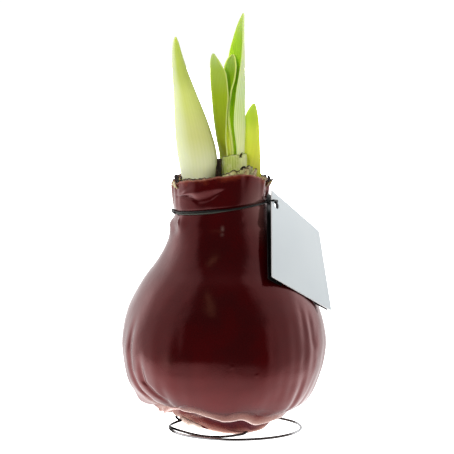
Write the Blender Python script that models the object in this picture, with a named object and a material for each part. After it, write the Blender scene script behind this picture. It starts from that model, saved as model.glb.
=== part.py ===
"""A waxed amaryllis bulb on a wire ring, at real size, in metres, +Z up.

The bulb's axis is Z, and the floor is z = 0, under the flat spot of the wax foot. The
front of the object faces -Y. The bulb is a turned shape with soft lobes: the wax follows
it, so the wax's outside, its inside and the bulb itself come from one outline."""

import math

import bmesh
import bpy
import numpy as np
from mathutils import Vector

SIDES = 60
GAP = 0.0003
WAX_THICKNESS = 0.0014
BODY_RINGS = 13
HOLLOW_RINGS = 9

# Outline of the wax, above the foot: height and radius, from the underside to the neck.
BODY_OUTLINE = (
    (0.0125, 0.0325),
    (0.0150, 0.0368),
    (0.0190, 0.0400),
    (0.0250, 0.0427),
    (0.0310, 0.0443),
    (0.0385, 0.0450),
    (0.0465, 0.0442),
    (0.0545, 0.0423),
    (0.0620, 0.0389),
    (0.0690, 0.0346),
    (0.0745, 0.0303),
    (0.0805, 0.0266),
    (0.0860, 0.0243),
    (0.0905, 0.0233),
    (0.0935, 0.0215),
)
NECK_RADIUS = 0.0210
RIM_RADIUS = 0.0219

# Underside of the wax: radius, height, and how far the ring is drawn to the flat spot.
FOOT_STEPS = (
    (0.0090, 0.0000, 1.0),
    (0.0142, 0.0012, 0.7),
    (0.0194, 0.0036, 0.1),
    (0.0214, 0.0055, 0.0),
    (0.0240, 0.0067, 0.0),
    (0.0262, 0.0081, 0.0),
    (0.0265, 0.0096, 0.0),
    (0.0287, 0.0108, 0.0),
)
FLAT_SPOT = (0.0050, -0.0040)
# The foot's underside slopes up towards the left. The heights say where the slope sets
# in, where it is full, and where it starts and ends to fade.
FOOT_LEFT_RISE = 0.0018
FOOT_SPAN = (0.0, 0.003, 0.004, 0.009)
# How far the wavy crease above the foot rises or drops, by angle from +X in degrees.
CREASE_SPAN = (0.0, 0.006, 0.010, 0.026)
CREASE_RISE = (
    (0, -0.0024),
    (30, -0.0015),
    (60, -0.0004),
    (90, 0.0003),
    (125, -0.0003),
    (150, 0.0006),
    (180, 0.0003),
    (205, 0.0016),
    (225, 0.0022),
    (248, 0.0014),
    (263, 0.0000),
    (275, -0.0005),
    (286, 0.0004),
    (298, 0.0000),
    (311, -0.0016),
    (335, -0.0018),
)

# Underside of the hollow in the wax: radius and height. Its walls start above them.
HOLLOW_BASE = ((0.0080, 0.0078), (0.0160, 0.0082), (0.0225, 0.0096), (0.0280, 0.0119))
HOLLOW_WALL_FROM = 0.0145

# The neck leans a little to the left of the bulb's axis: height and shift.
NECK_SHIFT = ((0.085, 0.0), (0.096, -0.0010), (0.115, -0.0013))

# Height of the torn wax rim round the neck, by angle from +X in degrees.
RIM_HEIGHT = (
    (0, 0.1111),
    (35, 0.1120),
    (90, 0.1128),
    (145, 0.1118),
    (180, 0.1092),
    (200, 0.1108),
    (222, 0.1130),
    (252, 0.1144),
    (266, 0.1157),
    (281, 0.1161),
    (293, 0.1159),
    (311, 0.1143),
    (335, 0.1128),
)

# Grooves between the bulb's lobes: angle in degrees, depth, half width in degrees, and
# the heights between which each one runs. One sets in over twice the first length below
# and fades out over the second.
GROOVES = (
    (196, 0.0004, 4, 0.012, 0.060),
    (207, 0.0011, 4, 0.008, 0.056),
    (218, 0.0013, 4, 0.008, 0.050),
    (232, 0.0003, 5, 0.008, 0.030),
    (306, 0.0003, 6, 0.010, 0.045),
    (322, 0.0005, 4, 0.012, 0.060),
    (332, 0.0006, 4, 0.012, 0.062),
    (344, 0.0004, 5, 0.012, 0.055),
    (18, 0.0009, 5, 0.008, 0.055),
    (47, 0.0006, 6, 0.010, 0.060),
    (78, 0.0010, 5, 0.008, 0.050),
    (104, 0.0007, 6, 0.010, 0.062),
    (128, 0.0011, 5, 0.008, 0.052),
    (160, 0.0008, 5, 0.010, 0.058),
)
GROOVE_START = 0.004
GROOVE_FADE = 0.022

# Slow swells of the skin: share of the radius, waves round the bulb, how fast they turn
# with height, in radians a metre, and the angle they start at, in radians.
BODY_SWELLS = ((0.006, 3, 0, 0.8), (0.004, 5, 60, 0.0), (0.003, 8, -90, math.pi / 2))
BODY_SWELL_SPAN = (0.010, 0.020, 0.085, 0.095)
NECK_SWELL = (0.007, 4, 260, 0.0)
NECK_SWELL_FROM = (0.088, 0.098)

# Cut neck of the bulb: its floor, and the dry tunic that stands a little over the wax.
NECK_FLOOR = 0.1080
TUNIC_THICKNESS = 0.0011
TUNIC_RISE = 0.0008
# Flakes that stand up from the tunic's torn edge: angle, height and half width in degrees.
TUNIC_FLAKES = (
    (172, 0.0026, 7),
    (348, 0.0024, 6),
    (2, 0.0018, 6),
    (60, 0.0014, 8),
    (118, 0.0018, 7),
)
EDGE_SLANT = 0.0002
# Each cut scale inside it: radius, thickness and height above the floor.
INNER_SCALES = (
    (0.0174, 0.0009, 0.0042),
    (0.0150, 0.0009, 0.0036),
    (0.0126, 0.0008, 0.0030),
)
FLAT_RIDGE = 0.0001
TEAR = 0.0003
# The scales lie flat nearer than this to the bud's middle line, and under the small leaf,
# at an angle and a half width. They rise from there to full height over more degrees.
BUD_CLEARANCE = 0.0068
BUD_ANGLE = 180
SMALL_LEAF_GAP = (18, 17)
SCALE_RAMP = 25

# Flower bud: height, its left and right edges along X, and its half depth along Y.
BUD_Y = -0.0010
BUD_SIDES = 20
BUD_EDGE_POWER = 1.15
BUD_EDGES = (
    (NECK_FLOOR + GAP, -0.0179, -0.0038, 0.0046),
    (0.1136, -0.0187, -0.0029, 0.0050),
    (0.1190, -0.0196, -0.0026, 0.0052),
    (0.1243, -0.0205, -0.0033, 0.0052),
    (0.1350, -0.0214, -0.0064, 0.0049),
    (0.1508, -0.0219, -0.0125, 0.0040),
    (0.1614, -0.0226, -0.0165, 0.0030),
    (0.1690, -0.0227, -0.0188, 0.0020),
    (0.1728, -0.0223, -0.0199, 0.0012),
    (0.1754, -0.0215, -0.0208, 0.0005),
)

# Leaves: height, left margin (x, y), right margin (x, y), and how far the rib between
# them stands off the line from one margin to the other (x, y).
LEAF_FRONT = (
    (NECK_FLOOR + GAP, -0.0012, 0.0016, 0.0019, -0.0022, 0.0003, 0.0002),
    (0.1220, -0.0017, 0.0018, 0.0019, -0.0026, 0.0003, 0.0002),
    (0.1310, -0.0028, 0.0008, 0.0012, -0.0032, -0.0003, -0.0006),
    (0.1408, -0.0042, -0.0004, 0.0014, -0.0040, -0.0003, -0.0012),
    (0.1487, -0.0050, -0.0014, 0.0020, -0.0046, -0.0002, -0.0014),
    (0.1584, -0.0058, -0.0022, 0.0011, -0.0048, -0.0001, -0.0012),
    (0.1637, -0.0058, -0.0026, -0.0013, -0.0048, 0.0, -0.0008),
    (0.1668, -0.0053, -0.0029, -0.0031, -0.0045, 0.0, -0.0004),
    (0.1680, -0.0047, -0.0033, -0.0040, -0.0041, 0.0, -0.0002),
)
LEAF_FOLDED = (
    (NECK_FLOOR + GAP, 0.0022, 0.0006, 0.0042, -0.0018, 0.0006, 0.0014),
    (0.1240, 0.0020, 0.0008, 0.0042, -0.0018, 0.0006, 0.0014),
    (0.1404, 0.0003, 0.0006, 0.0024, -0.0018, 0.0004, 0.0016),
    (0.1506, -0.0002, 0.0004, 0.0035, -0.0016, 0.0003, 0.0018),
    (0.1570, -0.0002, 0.0003, 0.0052, -0.0014, 0.0002, 0.0018),
    (0.1618, 0.0003, 0.0003, 0.0057, -0.0012, 0.0001, 0.0015),
    (0.1655, 0.0018, 0.0004, 0.0053, -0.0008, 0.0, 0.0009),
    (0.1672, 0.0036, 0.0003, 0.0045, 0.0, 0.0, 0.0003),
)
LEAF_TALL = (
    (NECK_FLOOR + GAP, 0.0048, 0.0032, 0.0058, -0.0032, 0.0033, 0.0),
    (0.1240, 0.0044, 0.0034, 0.0058, -0.0032, 0.0036, 0.0),
    (0.1375, 0.0026, 0.0044, 0.0046, -0.0034, 0.0048, 0.0002),
    (0.1500, 0.0014, 0.0050, 0.0053, -0.0030, 0.0052, 0.0004),
    (0.1600, 0.0015, 0.0050, 0.0061, -0.0024, 0.0048, 0.0004),
    (0.1675, 0.0024, 0.0046, 0.0066, -0.0018, 0.0042, 0.0004),
    (0.1740, 0.0041, 0.0038, 0.0073, -0.0010, 0.0031, 0.0004),
    (0.1805, 0.0062, 0.0028, 0.0080, 0.0002, 0.0017, 0.0002),
    (0.1842, 0.0079, 0.0020, 0.0086, 0.0011, 0.0006, 0.0),
    (0.1853, 0.0085, 0.0018, 0.0088, 0.0013, 0.0002, 0.0),
)
LEAF_SMALL = (
    (NECK_FLOOR + GAP, 0.0106, 0.0058, 0.0154, 0.0030, 0.0006, -0.0010),
    (0.1140, 0.0104, 0.0060, 0.0163, 0.0028, 0.0006, -0.0012),
    (0.1300, 0.0096, 0.0060, 0.0156, 0.0028, 0.0004, -0.0014),
    (0.1373, 0.0096, 0.0056, 0.0152, 0.0028, 0.0003, -0.0013),
    (0.1410, 0.0104, 0.0050, 0.0149, 0.0028, 0.0002, -0.0009),
    (0.1437, 0.0118, 0.0043, 0.0145, 0.0031, 0.0, -0.0005),
    (0.1452, 0.0131, 0.0038, 0.0140, 0.0034, 0.0, -0.0002),
)
# Each leaf's stations, and how round it is between its margins: 2 is an arc, and a
# smaller number is a sharper fold.
LEAVES = {
    "leaf_front": (LEAF_FRONT, 2.0),
    "leaf_folded": (LEAF_FOLDED, 2.0),
    "leaf_tall": (LEAF_TALL, 1.4),
    "leaf_small": (LEAF_SMALL, 1.6),
}
LEAF_THICKNESS = 0.0013
MARGIN_THICKNESS = 0.0007
LEAF_FULL_WIDTH = 0.006
LEAF_POINTS = 7
SPEAR_RINGS = 15

# Cut sheath round the leaves, and the torn scale in front of it, which is part of the
# bulb: height of the top edge, by angle from +X.
SHEATH_CENTRE = (0.00475, 0.0)
SHEATH_WALL = 0.0008
SHEATH_RADIUS = 0.00565
SHEATH_STEPS = 22
SHEATH_TOP = (
    (200, 0.1219),
    (235, 0.1229),
    (275, 0.1237),
    (291, 0.1226),
    (305, 0.1241),
    (325, 0.1236),
    (480, 0.1215),
)
FRONT_SCALE_RADIUS = 0.0081
FRONT_SCALE_STEPS = 14
FRONT_SCALE_TOP = (
    (226, 0.1142),
    (258, 0.1158),
    (268, 0.1168),
    (275, 0.1160),
    (306, 0.1176),
    (342, 0.1186),
)
DRY_STRIP_CENTRE = (-0.0019, -0.0030)
DRY_STRIP_SIZE = (0.0021, 0.0007)
DRY_STRIP_TOP = 0.1216
SUNK = 0.0015

# Steel wire ring: its end goes into the wax foot, and it comes out, lies on its own coil,
# comes down to the floor and runs on, clockwise as seen from above.
WIRE_RADIUS = 0.000575
WELD = 1e-6
RING_CENTRE = (0.0053, 0.0)
RING_RADIUS = 0.0292
RING_LIFT = 0.0015
RING_START = 215
RING_TURN = 440
RING_STEP = 10
RING_LANDS = (100, 215)
WIRE_LEAD_IN = (
    (0.0142, -0.0115, 0.0022),
    (0.0120, -0.0140, 0.0017),
    (0.0099, -0.0160, 0.0014),
    (0.0060, -0.0191, 0.0015),
    (0.0017, -0.0216, 0.0016),
    (-0.0030, -0.0232, 0.0018),
    (-0.0080, -0.0236, 0.0020),
    (-0.0129, -0.0218, 0.0021),
)
LEAD_IN_POINTS = 16
HOLE_POINTS = 6

# Elastic tie round the neck. It sits higher at the right than at the left, and it
# pinches the neck a little.
TIE_RADIUS = 0.00055
TIE_HEIGHT = 0.1000
TIE_SLOPE = (0.115, -0.030)
TIE_STEP = 8
TIE_PINCH = 0.0007
TIE_PINCH_WIDTH = 0.0016
TIE_BAND = 0.0022

# Card tag: its corners from top left, clockwise as seen from the front. The hole's place
# is a share across and a share down.
TAG_CORNERS = (
    (0.0211, -0.0056, 0.1078),
    (0.0427, 0.0239, 0.0853),
    (0.0477, -0.0041, 0.0537),
    (0.0211, -0.0310, 0.0731),
)
TAG_SIDE = 0.0428
TAG_THICKNESS = 0.0006
TAG_HOLE_RADIUS = 0.0019
TAG_HOLE_SIDES = 20
TAG_HOLE_AT = (0.092, 0.128)
TAG_STEPS = 8

# Loop of the elastic through the tag's hole. It meets the tie at an angle, and its other
# points lie by the hole or by the card's edge beside it: how far out of the card's
# outline, and how far in front of the card's middle layer.
LOOP_RADIUS = 0.00035
LOOP_TIE_ANGLE = -16
LOOP_POINTS = 18
LOOP_EDGE_UP = 0.03
LOOP_FRONT = (
    ("hole", 0.0006, 0.0),
    ("hole", 0.0010, 0.00076),
    ("edge", -0.0004, 0.00124),
    ("edge", 0.00105, 0.0),
)
LOOP_BACK = ("hole", 0.0010, -0.00076)

# Colour, roughness and metallic value of each piece.
FINISHES = {
    "wax_coat": ((0.040, 0.001, 0.002), 0.15, 0.0),
    "bulb": ((0.55, 0.42, 0.25), 0.7, 0.0),
    "stand": ((0.55, 0.55, 0.55), 0.2, 1.0),
    "flower_bud": ((0.60, 0.65, 0.30), 0.4, 0.0),
    "leaf_front": ((0.26, 0.40, 0.05), 0.4, 0.0),
    "leaf_folded": ((0.20, 0.36, 0.04), 0.4, 0.0),
    "leaf_tall": ((0.35, 0.55, 0.10), 0.4, 0.0),
    "leaf_small": ((0.50, 0.60, 0.05), 0.4, 0.0),
    "cut_sheath": ((0.50, 0.58, 0.25), 0.5, 0.0),
    "tie": ((0.01, 0.012, 0.01), 0.5, 0.0),
    "tag": ((0.70, 0.73, 0.74), 0.4, 0.0),
}


def clear_scene():
    for thing in list(bpy.data.objects):
        bpy.data.objects.remove(thing, do_unlink=True)


def give_material(thing):
    colour, roughness, metallic = FINISHES[thing.name]
    material = bpy.data.materials.new(thing.name)
    material.use_nodes = True
    shader = material.node_tree.nodes["Principled BSDF"]
    shader.inputs["Base Color"].default_value = (*colour, 1.0)
    shader.inputs["Roughness"].default_value = roughness
    shader.inputs["Metallic"].default_value = metallic
    thing.data.materials.clear()
    thing.data.materials.append(material)


def hermite(knots, values, slopes, at):
    """Cubic pieces through numbers or points at rising knots, with given slopes there."""
    i = np.clip(np.searchsorted(knots, at, side="right") - 1, 0, len(knots) - 2)
    step = knots[i + 1] - knots[i]
    t = (at - knots[i]) / step
    if values.ndim > 1:
        step = step[:, None]
        t = t[:, None]
    return (
        (1 + 2 * t) * (1 - t) ** 2 * values[i]
        + t * (1 - t) ** 2 * step * slopes[i]
        + t * t * (3 - 2 * t) * values[i + 1]
        + t * t * (t - 1) * step * slopes[i + 1]
    )


def flow(knots, values, at):
    """A smooth line through values at rising knots, which never overshoots them."""
    knots = np.asarray(knots, float)
    values = np.asarray(values, float)
    at = np.clip(np.asarray(at, float), knots[0], knots[-1])
    slopes = np.diff(values) / np.diff(knots)
    same_way = slopes[:-1] * slopes[1:] > 0
    total = np.where(same_way, slopes[:-1] + slopes[1:], 1.0)
    inner = np.where(same_way, 2 * slopes[:-1] * slopes[1:] / total, 0.0)
    return hermite(knots, values, np.concatenate([[slopes[0]], inner, [slopes[-1]]]), at)


def smooth_route(points, count):
    """Points along a smooth line through a few chosen ones."""
    points = np.asarray(points, float)
    run = np.concatenate([[0], np.cumsum(np.linalg.norm(np.diff(points, axis=0), axis=1))])
    route = hermite(run, points, np.gradient(points, run, axis=0), np.linspace(0, run[-1], count))
    return [tuple(float(v) for v in point) for point in route]


def closed_route(points, count):
    """Points along a smooth closed line through a few chosen ones."""
    laps = smooth_route(points * 3 + points[:1], 3 * count + 1)
    return laps[count : 2 * count]


def column(table, index):
    return [row[index] for row in table]


def smooth_step(low, high, value):
    t = min(max((value - low) / (high - low), 0.0), 1.0)
    return t * t * (3 - 2 * t)


def within(value, span):
    """1 inside a span, with a smooth rise before it and a smooth fall after it."""
    rise_from, rise_to, fall_from, fall_to = span
    return smooth_step(rise_from, rise_to, value) * (1 - smooth_step(fall_from, fall_to, value))


def around(table, angle):
    """A value that runs smoothly round the full circle, read at an angle in degrees."""
    angles = column(table, 0)
    knots = [a - 360 for a in angles] + angles + [a + 360 for a in angles]
    return float(flow(knots, column(table, 1) * 3, angle % 360))


def angle_off(angle, centre):
    return (angle - centre + 180) % 360 - 180


def bump(angle, centre, width):
    return math.exp(-((angle_off(angle, centre) / width) ** 2))


def groove_depth(angle, height):
    total = 0.0
    for centre, depth, width, low, high in GROOVES:
        span = (low - GROOVE_START, low + GROOVE_START, high - GROOVE_FADE, high)
        total += depth * within(height, span) * bump(angle, centre, width)
    return total


def wave(swell, a, height):
    share, waves, turn, start = swell
    return share * math.sin(waves * a + turn * height + start)


def lumps(angle, height):
    """Slow swells of the bulb's skin, as a share of its radius."""
    a = math.radians(angle)
    body = within(height, BODY_SWELL_SPAN) * sum(wave(swell, a, height) for swell in BODY_SWELLS)
    return body + smooth_step(*NECK_SWELL_FROM, height) * wave(NECK_SWELL, a, height)


def neck_shift(height):
    return float(flow(column(NECK_SHIFT, 0), column(NECK_SHIFT, 1), height))


def base_rise(angle, height):
    """How far the underside stands above the plain turned shape at an angle."""
    left = (1 - math.cos(math.radians(angle))) / 2
    foot = FOOT_LEFT_RISE * left * within(height, FOOT_SPAN)
    return foot + around(CREASE_RISE, angle) * within(height, CREASE_SPAN)


def rim_height(angle):
    return around(RIM_HEIGHT, angle)


def tie_line(angle):
    """Height of the tie's middle where it lies on the neck at an angle."""
    a = math.radians(angle)
    x = NECK_RADIUS * math.cos(a)
    y = NECK_RADIUS * math.sin(a)
    return TIE_HEIGHT + TIE_SLOPE[0] * x + TIE_SLOPE[1] * y


def pinch(angle, height):
    return TIE_PINCH * math.exp(-(((height - tie_line(angle)) / TIE_PINCH_WIDTH) ** 2))


def skin_point(angle, radius, height, drift=0.0):
    """A point of the lobed skin, from the radius and height of the plain turned shape."""
    a = math.radians(angle)
    r = radius * (1 + lumps(angle, height)) - groove_depth(angle, height) - pinch(angle, height)
    x = r * math.cos(a) + neck_shift(height) + drift * FLAT_SPOT[0]
    y = r * math.sin(a) + drift * FLAT_SPOT[1]
    return Vector((x, y, height + base_rise(angle, height)))


def body_stations(count):
    """Radius and height of the plain turned shape, at even steps along its outline."""
    z = np.linspace(BODY_OUTLINE[0][0], BODY_OUTLINE[-1][0], 400)
    r = flow(column(BODY_OUTLINE, 0), column(BODY_OUTLINE, 1), z)
    run = np.concatenate([[0], np.cumsum(np.hypot(np.diff(z), np.diff(r)))])
    at = np.linspace(0, run[-1], count)
    return [(float(np.interp(s, run, r)), float(np.interp(s, run, z))) for s in at]


def inset(stations, depth):
    """The outline moved inwards by a depth, square to itself."""
    points = [Vector(p) for p in stations]
    moved = []
    for i, point in enumerate(points):
        along = points[min(i + 1, len(points) - 1)] - points[max(i - 1, 0)]
        along.normalize()
        moved.append(point + depth * Vector((-along.y, along.x)))
    return [tuple(p) for p in moved]


def hollow_stations():
    walls = inset(body_stations(HOLLOW_RINGS), WAX_THICKNESS)
    return list(HOLLOW_BASE) + [p for p in walls if p[1] > HOLLOW_WALL_FROM]


def angles():
    return [360 * i / SIDES for i in range(SIDES)]


def skin_rings(stations):
    return [[skin_point(angle, r, z) for angle in angles()] for r, z in stations]


def neck_rings(depth, tie_rings, rim_rings, reach=1.0):
    """Rings along the tie, then up towards the torn rim, inside the wax by a depth."""
    rings = []
    for offset in np.linspace(-TIE_BAND, TIE_BAND, tie_rings):
        rings.append([skin_point(a, NECK_RADIUS - depth, tie_line(a) + offset) for a in angles()])
    for k in range(rim_rings):
        share = reach * (k + 1) / rim_rings
        radius = NECK_RADIUS + (RIM_RADIUS - NECK_RADIUS) * share - depth
        ring = []
        for angle in angles():
            start = tie_line(angle) + TIE_BAND
            ring.append(skin_point(angle, radius, start + (rim_height(angle) - start) * share))
        rings.append(ring)
    return rings


def new_object(name, mesh):
    thing = bpy.data.objects.new(name, mesh)
    bpy.context.scene.collection.objects.link(thing)
    return thing


def finish_mesh(shape, mesh, sharp_degrees):
    """Write a closed shape to a mesh: faces pointing out, smooth up to a sharp angle."""
    bmesh.ops.recalc_face_normals(shape, faces=shape.faces)
    if shape.calc_volume(signed=True) < 0:
        bmesh.ops.reverse_faces(shape, faces=shape.faces)
    shape.to_mesh(mesh)
    shape.free()
    mesh.shade_smooth()
    mesh.set_sharp_from_angle(angle=math.radians(sharp_degrees))


def close_ring(shape, loop):
    """A cap of triangles from the ring's middle, the same for two rings one over the other."""
    middle = shape.verts.new(sum((v.co for v in loop), Vector()) / len(loop))
    for i in range(len(loop)):
        shape.faces.new((loop[i], loop[(i + 1) % len(loop)], middle))


def skin_object(name, rings, sharp_degrees, round_ends=False):
    """A closed body over rings of points, each joined to the next, with both ends capped."""
    shape = bmesh.new()
    loops = [[shape.verts.new(p) for p in ring] for ring in rings]
    for low, high in zip(loops, loops[1:]):
        for i in range(len(low)):
            j = (i + 1) % len(low)
            shape.faces.new((low[i], low[j], high[j], high[i]))
    if round_ends:
        close_ring(shape, list(reversed(loops[0])))
        close_ring(shape, loops[-1])
    else:
        shape.faces.new(list(reversed(loops[0])))
        shape.faces.new(loops[-1])
    mesh = bpy.data.meshes.new(name)
    finish_mesh(shape, mesh, sharp_degrees)
    return new_object(name, mesh)


def tube_object(name, points, radius, closed=False):
    """A round wire through points, as a bevelled curve turned into a mesh."""
    curve = bpy.data.curves.new(name, "CURVE")
    curve.dimensions = "3D"
    curve.bevel_depth = radius
    curve.bevel_resolution = 2
    curve.use_fill_caps = True
    line = curve.splines.new("POLY")
    line.points.add(len(points) - 1)
    for slot, point in zip(line.points, points):
        slot.co = (*point, 1.0)
    line.use_cyclic_u = closed
    guide = new_object(name + "_line", curve)
    graph = bpy.context.evaluated_depsgraph_get()
    mesh = bpy.data.meshes.new_from_object(guide.evaluated_get(graph))
    bpy.data.objects.remove(guide, do_unlink=True)
    shape = bmesh.new()
    shape.from_mesh(mesh)
    bmesh.ops.remove_doubles(shape, verts=shape.verts, dist=WELD)
    finish_mesh(shape, mesh, 60)
    return new_object(name, mesh)


def apply_modifiers(thing):
    graph = bpy.context.evaluated_depsgraph_get()
    mesh = bpy.data.meshes.new_from_object(thing.evaluated_get(graph))
    thing.modifiers.clear()
    thing.data = mesh


def join_to(thing, others):
    """One closed body from overlapping ones, by a Boolean union on a collection."""
    group = bpy.data.collections.new(thing.name + "_pieces")
    bpy.context.scene.collection.children.link(group)
    for other in others:
        bpy.context.scene.collection.objects.unlink(other)
        group.objects.link(other)
    union = thing.modifiers.new("join", "BOOLEAN")
    union.operation = "UNION"
    union.operand_type = "COLLECTION"
    union.collection = group
    union.solver = "EXACT"
    apply_modifiers(thing)
    for other in others:
        bpy.data.objects.remove(other, do_unlink=True)
    bpy.data.collections.remove(group)


def cut_from(thing, cutter):
    cutter.hide_render = True
    cutter.display_type = "WIRE"
    cut = thing.modifiers.new("cut", "BOOLEAN")
    cut.operation = "DIFFERENCE"
    cut.object = cutter
    cut.solver = "EXACT"
    apply_modifiers(thing)
    bpy.data.objects.remove(cutter, do_unlink=True)


def make_wax_coat():
    """The wax from its foot up the outside to the torn rim, and down its inside."""
    foot = [[skin_point(a, r, z, drift) for a in angles()] for r, z, drift in FOOT_STEPS]
    outside = skin_rings(body_stations(BODY_RINGS)) + neck_rings(0.0, 5, 3)
    inside = skin_rings(hollow_stations()) + neck_rings(WAX_THICKNESS, 3, 2)
    return skin_object("wax_coat", foot + outside + list(reversed(inside)), 50, round_ends=True)


def tunic_top(angle):
    flakes = sum(height * bump(angle, centre, width) for centre, height, width in TUNIC_FLAKES)
    return rim_height(angle) + TUNIC_RISE + TEAR * math.sin(math.radians(11 * angle)) + flakes


def scale_top(angle, radius, height):
    """The torn edge of an inner scale, which lies flat where the bud or a leaf stands."""
    rise = height + TEAR * math.sin(math.radians(9 * angle) + radius / TEAR)
    bud_gap = (BUD_ANGLE, math.degrees(math.asin(BUD_CLEARANCE / radius)))
    for centre, half in (bud_gap, SMALL_LEAF_GAP):
        rise *= smooth_step(half, half + SCALE_RAMP, abs(angle_off(angle, centre)))
    return NECK_FLOOR + rise


def neck_circle(radius, heights):
    """A ring round the neck's middle with a height for each angle."""
    ring = []
    for angle, height in zip(angles(), heights):
        a = math.radians(angle)
        middle = neck_shift(NECK_FLOOR)
        ring.append(Vector((radius * math.cos(a) + middle, radius * math.sin(a), height)))
    return ring


def cut_scale_rings(radius, thickness, height):
    """Up the outside of one cut scale, over its torn edge and down its inside."""
    low = [NECK_FLOOR - FLAT_RIDGE] * SIDES
    top = [scale_top(angle, radius - thickness, height) for angle in angles()]
    return [
        neck_circle(radius + FLAT_RIDGE, low),
        neck_circle(radius, top),
        neck_circle(radius - thickness, top),
        neck_circle(radius - thickness - FLAT_RIDGE, low),
    ]


def make_bulb_body():
    """The bulb from its root plate to the cut neck, whose scales are rings within rings."""
    sides = skin_rings(inset(hollow_stations(), GAP)) + neck_rings(WAX_THICKNESS + GAP, 3, 1, 0.5)
    outer = (NECK_RADIUS + RIM_RADIUS) / 2 - WAX_THICKNESS - GAP
    tops = [tunic_top(angle) for angle in angles()]
    tunic = [
        neck_circle(outer - EDGE_SLANT, tops),
        neck_circle(outer - TUNIC_THICKNESS, [top - EDGE_SLANT for top in tops]),
        neck_circle(outer - TUNIC_THICKNESS - EDGE_SLANT, [NECK_FLOOR] * SIDES),
    ]
    scales = [ring for scale in INNER_SCALES for ring in cut_scale_rings(*scale)]
    return skin_object("bulb", sides + tunic + scales, 50, round_ends=True)


def curved_plate(name, radius, top, bottom, steps):
    """An upright plate bent round the leaves' middle, with its torn top edge by angle."""
    turn = np.linspace(top[0][0], top[-1][0], steps)
    heights = flow(column(top, 0), column(top, 1), turn)
    rings = []
    for share in (0.0, 0.5, 1.0):
        ring = []
        for r, order in ((radius, range(steps)), (radius - SHEATH_WALL, reversed(range(steps)))):
            for i in order:
                a = math.radians(turn[i])
                x = SHEATH_CENTRE[0] + r * math.cos(a)
                y = SHEATH_CENTRE[1] + r * math.sin(a)
                ring.append(Vector((x, y, bottom + (heights[i] - bottom) * share)))
        rings.append(ring)
    return skin_object(name, rings, 40)


def make_dry_strip():
    corners = ((-1, -1), (1, -1), (1, 1), (-1, 1))
    rings = []
    for z in (NECK_FLOOR - SUNK, DRY_STRIP_TOP):
        ring = []
        for side_x, side_y in corners:
            x = DRY_STRIP_CENTRE[0] + side_x * DRY_STRIP_SIZE[0] / 2
            y = DRY_STRIP_CENTRE[1] + side_y * DRY_STRIP_SIZE[1] / 2
            ring.append(Vector((x, y, z)))
        rings.append(ring)
    return skin_object("dry_strip", rings, 30)


def make_bulb():
    """The bulb with the torn scale and the dry strip that stand up inside its neck."""
    bulb = make_bulb_body()
    bottom = NECK_FLOOR - SUNK
    scale = curved_plate("front_scale", FRONT_SCALE_RADIUS, FRONT_SCALE_TOP, bottom, FRONT_SCALE_STEPS)
    join_to(bulb, [scale, make_dry_strip()])
    return bulb


def make_sheath():
    return curved_plate("cut_sheath", SHEATH_RADIUS, SHEATH_TOP, NECK_FLOOR + GAP, SHEATH_STEPS)


def spear_levels(heights):
    """Heights of a bud's or leaf's rings, closer together towards the tip."""
    quarter = np.sin(np.linspace(0, math.pi / 2, SPEAR_RINGS))
    return heights[0] + (heights[-1] - heights[0]) * quarter


def make_bud():
    """A flattened spear whose edges are a little sharp, as the two bracts meet there."""
    heights = column(BUD_EDGES, 0)
    levels = spear_levels(heights)
    left, right, depth = (flow(heights, column(BUD_EDGES, i), levels) for i in (1, 2, 3))
    rings = []
    for z, x0, x1, half in zip(levels, left, right, depth):
        ring = []
        for i in range(BUD_SIDES):
            a = 2 * math.pi * i / BUD_SIDES
            deep = math.copysign(abs(math.sin(a)) ** BUD_EDGE_POWER, math.sin(a))
            ring.append(Vector(((x0 + x1) / 2 + math.cos(a) * (x1 - x0) / 2, BUD_Y + deep * half, z)))
        rings.append(ring)
    return skin_object("flower_bud", rings, 70)


def leaf_ring(z, margins, fold):
    """One ring of a leaf: its front from the left margin to the right, and back behind."""
    x0, y0, x1, y1, rib_x, rib_y = margins
    middle = Vector(((x0 + x1) / 2, (y0 + y1) / 2))
    half = Vector(((x1 - x0) / 2, (y1 - y0) / 2))
    across = [2 * i / (LEAF_POINTS - 1) - 1 for i in range(LEAF_POINTS)]
    line = [middle + u * half + (1 - abs(u) ** fold) * Vector((rib_x, rib_y)) for u in across]
    width = sum((b - a).length for a, b in zip(line, line[1:]))
    extra = (LEAF_THICKNESS - MARGIN_THICKNESS) * min(1, width / LEAF_FULL_WIDTH)
    front = []
    back = []
    for i, (u, point) in enumerate(zip(across, line)):
        along = (line[min(i + 1, LEAF_POINTS - 1)] - line[max(i - 1, 0)]).normalized()
        side = Vector((along.y, -along.x)) * (MARGIN_THICKNESS + extra * (1 - u * u)) / 2
        front.append(Vector((*(point + side), z)))
        back.append(Vector((*(point - side), z)))
    return front + list(reversed(back))


def make_leaf(name, stations, fold):
    """A strap leaf: a thin plate that bends from one margin over its rib to the other."""
    heights = column(stations, 0)
    levels = spear_levels(heights)
    margins = zip(*(flow(heights, column(stations, i), levels) for i in range(1, 7)))
    return skin_object(name, [leaf_ring(z, row, fold) for z, row in zip(levels, margins)], 60)


def ring_point(turned):
    """The wire's middle by how many degrees it has gone round, from on top of its coil."""
    a = math.radians(RING_START - turned)
    z = WIRE_RADIUS + RING_LIFT * (1 - smooth_step(*RING_LANDS, turned))
    return (RING_CENTRE[0] + RING_RADIUS * math.cos(a), RING_CENTRE[1] + RING_RADIUS * math.sin(a), z)


def make_stand(wax):
    """The wire ring, and the hole that its end fills in the wax foot."""
    lead_in = smooth_route(list(WIRE_LEAD_IN) + [ring_point(0)], LEAD_IN_POINTS)
    route = lead_in + [ring_point(turned) for turned in range(RING_STEP, RING_TURN + 1, RING_STEP)]
    end = [Vector(p) for p in route[:HOLE_POINTS]]
    start = end[0] + (end[0] - end[1]).normalized() * GAP
    cut_from(wax, tube_object("wire_hole", [start] + end[1:], WIRE_RADIUS + GAP))
    return tube_object("stand", route, WIRE_RADIUS)


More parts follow.
